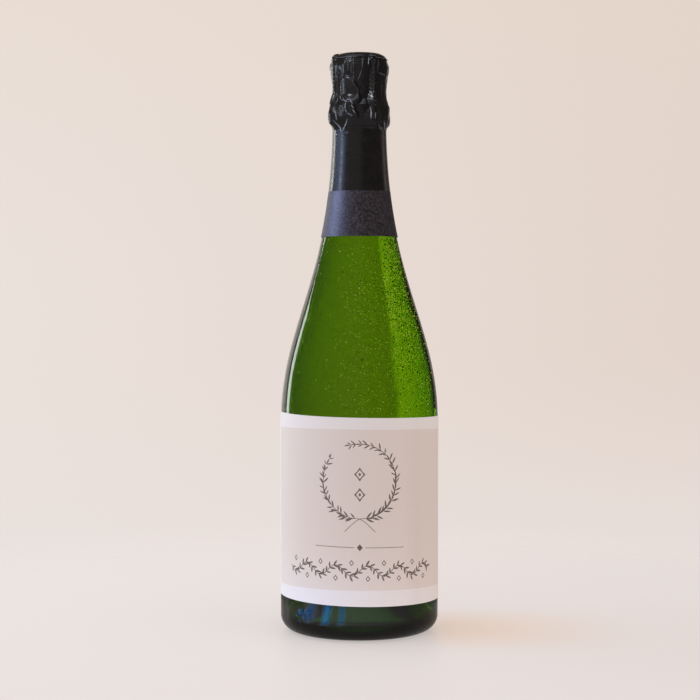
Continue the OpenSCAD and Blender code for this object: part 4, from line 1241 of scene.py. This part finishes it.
def over_leg(leg, low, z, way, r, turn):
    """How far out the foil over a leg lies: a tent over its strands, less a wave that turns with their
    twist and a groove along the middle. Also how strong the painted highlight on the crests of the wave
    is."""
    middle = np.where(low, leg_r(z), LEG_BEND)
    strand_z = np.where(low, z, BEND_Z + LEG_BEND * way[:, 1:])
    eye = ease(EYE_REACH, BELT_D, np.abs(strand_z - BELT_Z))
    half_w = STRAND_OFF + (EYE_OFF - STRAND_OFF) * eye + STRAND_D / 2
    slope = LEG_FOOT_SLOPE + (TENT_SLOPE - LEG_FOOT_SLOPE) * ease(*STEEPER_Z, strand_z)
    beads = BEAD_H * ease(*BEADS_IN_Z, strand_z) * ease(*BEADS_OUT_Z, strand_z)
    twist = BEAD_H * BEAD_KEPT + (1 - BEAD_KEPT) * beads
    across = np.radians(apart(turn, leg)) * r
    rope = 0.5 - 0.5 * np.cos(2 * leg_phase(strand_z) - ROPE_SLANT * across)
    out = middle + tent(across, half_w, slope) - twist * rope
    out = out - LEG_GROOVE * hump(across / GROOVE_HALF) + FOIL_CLEAR
    glint_share = ROPE_GLINT * (1 - rope) ** 3 * hump(across / ROPE_GLINT_HALF) * (beads > BEADS_SHOW)
    return out, glint_share


def over_key(rise, turn):
    """How far out the foil over the key lies at heights above the belt: a tent over the loop with a
    pear-shaped pillow in it, and one over each side of the shank, as three forms. Also how strong the
    painted highlight on their crests is."""
    surface = key_surface(rise)
    across = np.radians(apart(turn, KEY_TURN)) * surface + KEY_LEAN * rise
    loop_far = (np.hypot(across / (KEY_W / 2), (rise - loop_rise) / (KEY_H / 2)) - 1) * KEY_W / 2
    half_w = KEY_W / 2 + PEAR_W * np.clip((loop_rise - rise) / (KEY_H / 2), -0.5, 1)
    half_h = KEY_H / 2 + PEAR_DROP
    pear_far = (np.hypot(across / half_w, (rise - loop_rise + PEAR_DROP) / half_h) - 1) * half_w
    depth = np.clip(-pear_far / half_w, 0, 1)
    pillow = PILLOW_H + PILLOW_RISE * depth * (2 - depth)
    pillow = np.where(pear_far < 0, pillow, tent(pear_far, BELT_D / 2))
    forms = [surface + np.maximum(tent(loop_far, BELT_D / 2), pillow) + FOIL_CLEAR]
    crest_glint = LOOP_GLINT * hump(loop_far / LOOP_GLINT_HALF)
    angle = shank_angle(rise)
    beyond = TENT_SLOPE * (np.maximum(0, -rise - BELT_D / 2) + np.maximum(0, rise - SHANK_H))
    for sign in (1, -1):
        aside = across - sign * KEY_OFF * np.cos(angle)
        over = tent(aside, BELT_D / 2) + sign * KEY_OFF * np.sin(angle)
        forms.append(surface + over + FOIL_CLEAR - beyond)
        front = np.clip(sign * np.sin(angle), 0, 1) * (rise > 0) * (rise < SHANK_H)
        crest_glint = np.maximum(crest_glint, front * hump(aside / SHANK_GLINT_HALF))
    return forms, crest_glint


def foil_out(start, way, along, turn, relief=1.0):
    """How far out the foil's outer face lies on each ray, for [row, turn]: the face between the legs
    with its pleats, or the forms over legs, belt and key where they reach further out. Also how strong
    the painted highlight is there, from 0 to 1, which lies along the crests."""
    start_r, start_z, way_r = start[:, :1], start[:, 1:], way[:, :1]
    low, top = start_r == 0, way_r < 0.0001
    z = np.where(low, start_z, BEND_Z)
    bend = np.degrees(np.arctan2(way[:, 1:], way_r))
    over_top = np.interp(-start_r, -TOP_VALLEY[:, 0], TOP_VALLEY[:, 1])
    round_bend = np.interp(bend, BEND_VALLEY[:, 0], BEND_VALLEY[:, 1])
    flat = np.where(top & (start_r != BEND_R), over_top, round_bend)
    flat = np.where(low, np.interp(z, VALLEY[:, 1], VALLEY[:, 0]), flat)
    flat = np.where(low & (z < TEAR_Z), glass_r(z) + SKIN_GAP + FOIL_T, flat)
    r = np.where(low, flat, start_r + way_r * LEG_BEND)
    fade = ease(*FOLDS_IN_Z, z) * np.where(top, ease(*FOLDS_OUT_R, start_r), 1)
    folds, crest_glint = pleats(along[:, None], turn)
    out = flat + folds * fade * relief
    present = np.where(low, ease(*LEG_IN_Z, z), 1.0)
    for leg in LEG_TURNS:
        form, glint_share = over_leg(leg, low, z, way, r, turn)
        out = soft_max(out, flat + (form - flat) * present)
        crest_glint = np.maximum(crest_glint, glint_share)

    # Belt and key lie only on the lower rows, and are far from the others.
    rise = np.where(low, z - BELT_Z, FAR_BELOW)
    over_belt = belt_r(turn) + tent(rise, BELT_D / 2, BELT_SLOPE) + FOIL_CLEAR
    over_belt = flat + (over_belt - flat) * ease(*DRAWN_IN_Z, z)
    out = np.where(low, soft_max(out, over_belt, BELT_SOFT), out)
    forms, glint_share = over_key(rise, turn)
    for form in forms:
        out = np.where(low, soft_max(out, form), out)
    return out, np.maximum(crest_glint, glint_share)


def foil_sheet(heights, bends, tops, lift=0.0, relief=1.0):
    """The grids of a foil piece's outer and inner face, over its rows, lifted off the hood, and how
    strong the painted highlight on its outer face is."""
    start, way, along = foil_rows(heights, bends, tops)
    out, crest_glint = foil_out(start, way, along, foil_turn, relief)
    out = out + np.reshape(lift, (-1, 1))
    faces = []
    for depth in (0, FOIL_T):
        r = start[:, :1] + (out - depth) * way[:, :1]
        z = start[:, 1:] + (out - depth) * way[:, 1:]
        faces.append(place(r, foil_turn, z))
    return faces, crest_glint


foil_material, tree, shader = material("black_foil")
dents = noise(tree, object_place(tree), DENT_SCALE, 3.0)
patchy = noise(tree, object_place(tree), PATCH_SCALE, 4.0)
# u sets a painted pale bluish highlight along the crests, stronger in patches; Metallic falls where it
# is painted.
glint_share = maths(tree, "MULTIPLY", own_uv(tree)[0], ramp(tree, patchy, *PATCH_GLINT))
put(
    tree, shader, Base_Color=blend_colours(tree, glint_share, FOIL_BLACK, FOIL_CREST_GLINT),
    Metallic=ramp(tree, glint_share, *METALLIC_UNDER_GLINT), Roughness=ramp(tree, patchy, *PATCH_ROUGH),
    Coat_Weight=0.5, Coat_Roughness=0.18, Normal=bump(tree, dents, *FOIL_BUMP),
)


def foil_piece(name, body, grids, stands_for, crest_glint, crease=FOIL_CREASE):
    """A piece of foil from the grids of its outer and inner face. Its u says how strong the painted
    crest highlight is, which is on the outer face alone."""
    points, faces = closed_shell(*grids)
    made = piece(name, body, points, faces, foil_material, [stands_for], crease)
    set_uv(made, np.concatenate([crest_glint.ravel(), 0 * crest_glint.ravel()]), np.zeros(len(points)))
    return made


# Columns stand closer together at the front, which the most strokes cross.
even = np.arange(FOIL_COLUMNS) * 360 / FOIL_COLUMNS - 180
foil_turn = (even - np.degrees(FRONT_SHARE * np.sin(np.radians(even))))[None, :]
heights = np.concatenate([np.linspace(*run) for run in SLEEVE_ROWS])
no_rows = np.zeros(0)
r, crest_glint = foil_out(*foil_rows(heights, no_rows, no_rows), foil_turn)
r = np.maximum(r, glass_r(heights)[:, None] + SKIN_GAP + FOIL_T)
r = r + lap(foil_turn, FOIL_T) * (heights > LAP_FROM_Z)[:, None]
z = heights[:, None]
sleeve_faces = [place(r, foil_turn, z), place(r - FOIL_T, foil_turn, z)]
crest_glint = crest_glint * (heights > FOLDS_IN_Z[0])[:, None]
foil_neck = foil_piece("foil_neck", "bottle", sleeve_faces, "foil_sleeve", crest_glint)

hood_faces, crest_glint = foil_sheet(
    np.linspace(TEAR_Z + TEAR_HALF, BEND_Z - BEND_STEP_Z, 132), np.linspace(0, 90, 16),
    np.linspace(BEND_R - BEND_STEP_R, TOP_RING_R, 7),
)
hood = foil_piece("foil_hood_sheet", "hood", hood_faces, "foil_hood", crest_glint)

# Foil disc: a round piece of the same foil pressed over the hood's gathered top, with a crisp edge that
# carries a painted highlight towards the front.
DISC_LIFT, DISC_RELIEF, DISC_CREASE = 0.32, 0.3, 50
RIM_BENDS, RIM_LIFT_SHARES = [19, 20.5, 22.5, 25, 28, 32], [0.5, 1.5, 1.9, 1.8, 1.3, 1.0]
DISC_BENDS, DISC_TOPS, MIDDLE_TOPS = (37, 90, 11), (BEND_R - BEND_STEP_R, 10, 12), [7, 4, 1.5, 0.02]
# The painted rim highlight across the rim: the bend of its middle, its half width and its least share.
RIM_GLINT_BEND, RIM_GLINT_HALF, RIM_GLINT_LEAST = 22, 3.5, 0.15
# Where the rim carries the painted highlight: the turns that it comes in over and goes out over, and
# how much.
RIM_GLINTS = ((-62, -45, -8, -2, 1.0), (20, 35, 60, 80, 0.8))

bends = np.concatenate([RIM_BENDS, np.linspace(*DISC_BENDS)])
tops = np.concatenate([np.linspace(*DISC_TOPS), MIDDLE_TOPS])
lift = np.concatenate([RIM_LIFT_SHARES, np.ones(len(bends) + len(tops) - len(RIM_BENDS))])
disc_faces, crest_glint = foil_sheet(no_rows, bends, tops, DISC_LIFT * lift, DISC_RELIEF)
# The painted rim highlight, strongest at the front left and front right, over a weaker share of the
# painted crest highlight.
rim_glint = sum(
    share * ease(a, b, foil_turn) * ease(d, c, foil_turn) for a, b, c, d, share in RIM_GLINTS
)
rim_glint = RIM_GLINT_LEAST + (1 - RIM_GLINT_LEAST) * rim_glint
from_rim = (np.concatenate([bends, 90 + 0 * tops]) - RIM_GLINT_BEND) / RIM_GLINT_HALF
crest_glint = DISC_RELIEF * crest_glint + hump(from_rim)[:, None] * rim_glint
disc = foil_piece("foil_disc", "hood", disc_faces, "foil_crown", crest_glint, DISC_CREASE)

# Condensation: small drops of water on the cold glass between the band and the label, dense on the
# right, fine in the middle and scattered on the left, and a few larger ones by the foot. Each is a low
# dome sunk a little into the glass. The dark and bright spots that clear water shows by bending light
# are painted into the drops as painted shade and painted light, and the drops by the foot are painted
# blue as a painted reflection of the sky.
DEW_RINGS, DEW_SIDES, DEW_SINK, DEW_RISE_SHARE, DEW_TOP = 3, 8, 0.03, 0.55, 70
# The drops' painted light, painted shade and painted sky reflection; the heights over which the painted
# sky gives way to painted light, and the step of u from painted shade to painted light.
DEW_PAINTED_LIGHT, DEW_PAINTED_SHADE, DEW_PAINTED_SKY = srgb(172, 198, 64), srgb(34, 68, 2), srgb(40, 82, 130)
DEW_PAINTED_SKY_Z, DEW_SHADE_STEP, JITTER = (0.02, 0.1), (0.55, 0.65), 0.4
# Each field of drops: its turns, its heights, its step and the share of places that hold one.
DENSE, DENSE_SIZES = ((27, 78), (124, 219), 1.5, 0.95), (0.3, 0.52)
MIDDLE, MIDDLE_SIZES, MIDDLE_SHADES = ((-24, 33), (124, 214), 1.6, 0.9), (0.2, 0.34), (0.54, 0.66)
SPARSE, SPARSE_SIZES, SPARSE_SHADES = ((-70, 30), (123, 219), 3.6, 0.22), (0.25, 0.45), (0.5, 0.68)
# The larger drops: turn, height and size.
LARGE = np.array([
    [-46.5, 14.6, 2.1], [-39.5, 15.2, 2.3], [-43, 12.0, 1.5], [-51, 12.5, 0.8],
    [-35.5, 12.4, 0.9], [-48, 9.6, 0.6], [-40, 9.8, 0.7],
])
LARGE_SHADE, DEW_CREASE = 0.9, 60
# The dense field starts at a turn that leans right at its top, and thins out downwards and to the
# right. It has more drops painted with painted light near its left edge. The middle field thins out to
# the left and upwards.
DENSE_FROM, DENSE_LEAN, DENSE_LEAN_Z, DENSE_FROM_VARIES = 28.5, 6, (190, 218), 1.5
DENSE_LEAST, DENSE_FULL_Z, DENSE_FULL_TURN = 0.3, (135, 170), (80, 62)
PALE_MORE, PALE_TURN, PALE_Z = 0.25, (50, 30), (150, 175)
MIDDLE_LEAST, MIDDLE_FULL_Z, MIDDLE_FULL_TURN = 0.4, (212, 180), (-30, 10)


def spread(rng, turns, heights, step, share):
    """Places [turn, height] on a grid of a step in millimetres, each moved at random by up to a
    part of the step, of which a share is kept."""
    r = float(np.mean(glass_r(np.array(heights))))
    columns = int(np.radians(turns[1] - turns[0]) * r / step)
    rows = int((heights[1] - heights[0]) / step)
    turn, z = np.meshgrid(np.linspace(*turns, columns), np.linspace(*heights, rows))
    turn = turn + np.degrees(rng.uniform(-JITTER, JITTER, turn.shape) * step / r)
    z = z + rng.uniform(-JITTER, JITTER, z.shape) * step
    kept = rng.random(turn.shape) < share
    return np.stack([turn[kept], z[kept]], -1)


def drops(places, sizes, height_share):
    """Domes on the glass: rings whose radius falls with the cosine and whose height rises with
    the sine of an angle up to the top, each drop square to the glass under it."""
    turn, z = places[:, 0], places[:, 1]
    tilt = np.arctan2(glass_r(z - 0.5) - glass_r(z + 0.5), 1.0)
    around, radial = place(1.0, turn + 90, 0.0), place(1.0, turn, 0.0)
    out = radial * np.cos(tilt)[:, None] + UPWARD * np.sin(tilt)[:, None]
    climb = np.cross(out, around)
    centre = radial * glass_r(z)[:, None] + UPWARD * z[:, None] - out * DEW_SINK
    lift = np.radians(np.linspace(0, DEW_TOP, DEW_RINGS))
    side = np.arange(DEW_SIDES) * 2 * np.pi / DEW_SIDES
    flat = sizes[:, None, None] * np.cos(lift)[None, :, None]
    rings = (
        centre[:, None, None, :]
        + (flat * np.cos(side))[..., None] * around[:, None, None, :]
        + (flat * np.sin(side))[..., None] * climb[:, None, None, :]
        + (sizes[:, None] * height_share * np.sin(lift))[:, :, None, None] * out[:, None, None, :]
    )
    count, each = len(places), DEW_RINGS * DEW_SIDES
    top = centre + (sizes * height_share)[:, None] * out
    points = np.vstack([rings.reshape(-1, 3), top, centre])
    first = np.arange(count)[:, None, None] * each
    wall = (first + grid_faces(DEW_RINGS, DEW_SIDES)[None]).reshape(-1, 4)
    k = np.arange(DEW_SIDES)[None, :]
    after = (k + 1) % DEW_SIDES
    start = np.arange(count)[:, None] * each
    last = start + each - DEW_SIDES
    hub = np.broadcast_to(count * each + np.arange(count)[:, None], (count, DEW_SIDES))
    cap = np.stack([last + k, last + after, hub], -1).reshape(-1, 3)
    base = np.stack([start + after, start + k, hub + count], -1).reshape(-1, 3)
    return points, [wall, cap, base]


def kept_share(least, x):
    """The share of drops kept: the least where x is 0, all where it is 1."""
    return least + (1 - least) * x


rng = np.random.default_rng(11)
dense = spread(rng, *DENSE)
turn, z = dense.T
varies = rng.uniform(-DENSE_FROM_VARIES, DENSE_FROM_VARIES, len(dense))
kept = turn > DENSE_FROM + DENSE_LEAN * ease(*DENSE_LEAN_Z, z) + varies
full = ease(*DENSE_FULL_Z, z) * ease(*DENSE_FULL_TURN, turn)
kept &= rng.random(len(dense)) < kept_share(DENSE_LEAST, full)
dense = dense[kept]
middle = spread(rng, *MIDDLE)
turn, z = middle.T
full = ease(*MIDDLE_FULL_TURN, turn) * kept_share(MIDDLE_LEAST, ease(*MIDDLE_FULL_Z, z))
middle = middle[rng.random(len(middle)) < full]
sparse = spread(rng, *SPARSE)
places = np.vstack([dense, middle, sparse, LARGE[:, :2]])
sizes = np.concatenate([
    rng.uniform(*DENSE_SIZES, len(dense)), rng.uniform(*MIDDLE_SIZES, len(middle)),
    rng.uniform(*SPARSE_SIZES, len(sparse)), LARGE[:, 2],
])
turn, z = dense.T
shades = np.concatenate([
    rng.random(len(dense)) + PALE_MORE * ease(*PALE_TURN, turn) * ease(*PALE_Z, z),
    rng.uniform(*MIDDLE_SHADES, len(middle)), rng.uniform(*SPARSE_SHADES, len(sparse)),
    np.full(len(LARGE), LARGE_SHADE),
])
dew_material, tree, shader = material("water_drops")
height = split(tree, object_place(tree))[2]
# Drops by the foot take the painted sky reflection, the others painted light or painted shade by their
# u.
light = blend_colours(tree, ramp(tree, height, *DEW_PAINTED_SKY_Z), DEW_PAINTED_SKY, DEW_PAINTED_LIGHT)
shade = ramp(tree, own_uv(tree)[0], *DEW_SHADE_STEP)
put(
    tree, shader, Roughness=0.1, IOR=1.33, Transmission_Weight=0.2,
    Base_Color=blend_colours(tree, shade, DEW_PAINTED_SHADE, light),
)
points, faces = drops(places, sizes, DEW_RISE_SHARE)
dew = piece("condensation", "bottle", points, faces, dew_material, (), DEW_CREASE)
each = np.repeat(shades, DEW_RINGS * DEW_SIDES)
set_uv(dew, np.concatenate([each, shades, shades]), np.zeros(len(points)))


# Lamps for the dark wrappings alone: a cool sheen and a bright line from the left and a faint
# warm edge from the right on the neck, a cool sheen on the band, and small sparks on the hood's
# folds. Each has its size, its power, its colour and its spot.
def for_pieces(name, *pieces):
    """A collection of the pieces that a lamp is meant for."""
    made = bpy.data.collections.new(name)
    for one in pieces:
        made.objects.link(one)
    return made


WRAPPING_TARGET = (0, 0, 0.27)
neck_only = for_pieces("neck_only", foil_neck)
hood_only = for_pieces("hood_only", hood, disc)
band_only = for_pieces("band_only", band)
for name, receivers, size, energy, colour, spot in (
    ("neck_cool", neck_only, (0.8, 0.5), 0.62, (0.40, 0.59, 1.0), (-0.90, -0.06, 0.30)),
    ("neck_line", neck_only, (0.06, 0.5), 0.30, (0.74, 0.84, 1.0), (-0.905, -0.176, 0.30)),
    ("neck_warm", neck_only, (0.3, 0.5), 0.12, (1.0, 0.82, 0.68), (0.78, 0.46, 0.30)),
    ("hood_line", hood_only, (0.08, 0.5), 0.29, (0.76, 0.86, 1.0), (-0.88, -0.25, 0.32)),
    ("hood_spark", hood_only, (0.10, 0.10), 0.42, (0.9, 0.96, 1.0), (-0.50, -0.55, 0.85)),
    ("hood_top", hood_only, (1.2, 0.3), 0.6, (0.80, 0.88, 1.0), (-0.2, -0.35, 1.2)),
    ("band_cool", band_only, (0.6, 0.6), 9.0, (0.46, 0.56, 1.0), (-0.90, -0.08, 0.24)),
):
    made = lamp(name, size, energy, colour, spot, WRAPPING_TARGET)
    made.light_linking.receiver_collection = receivers
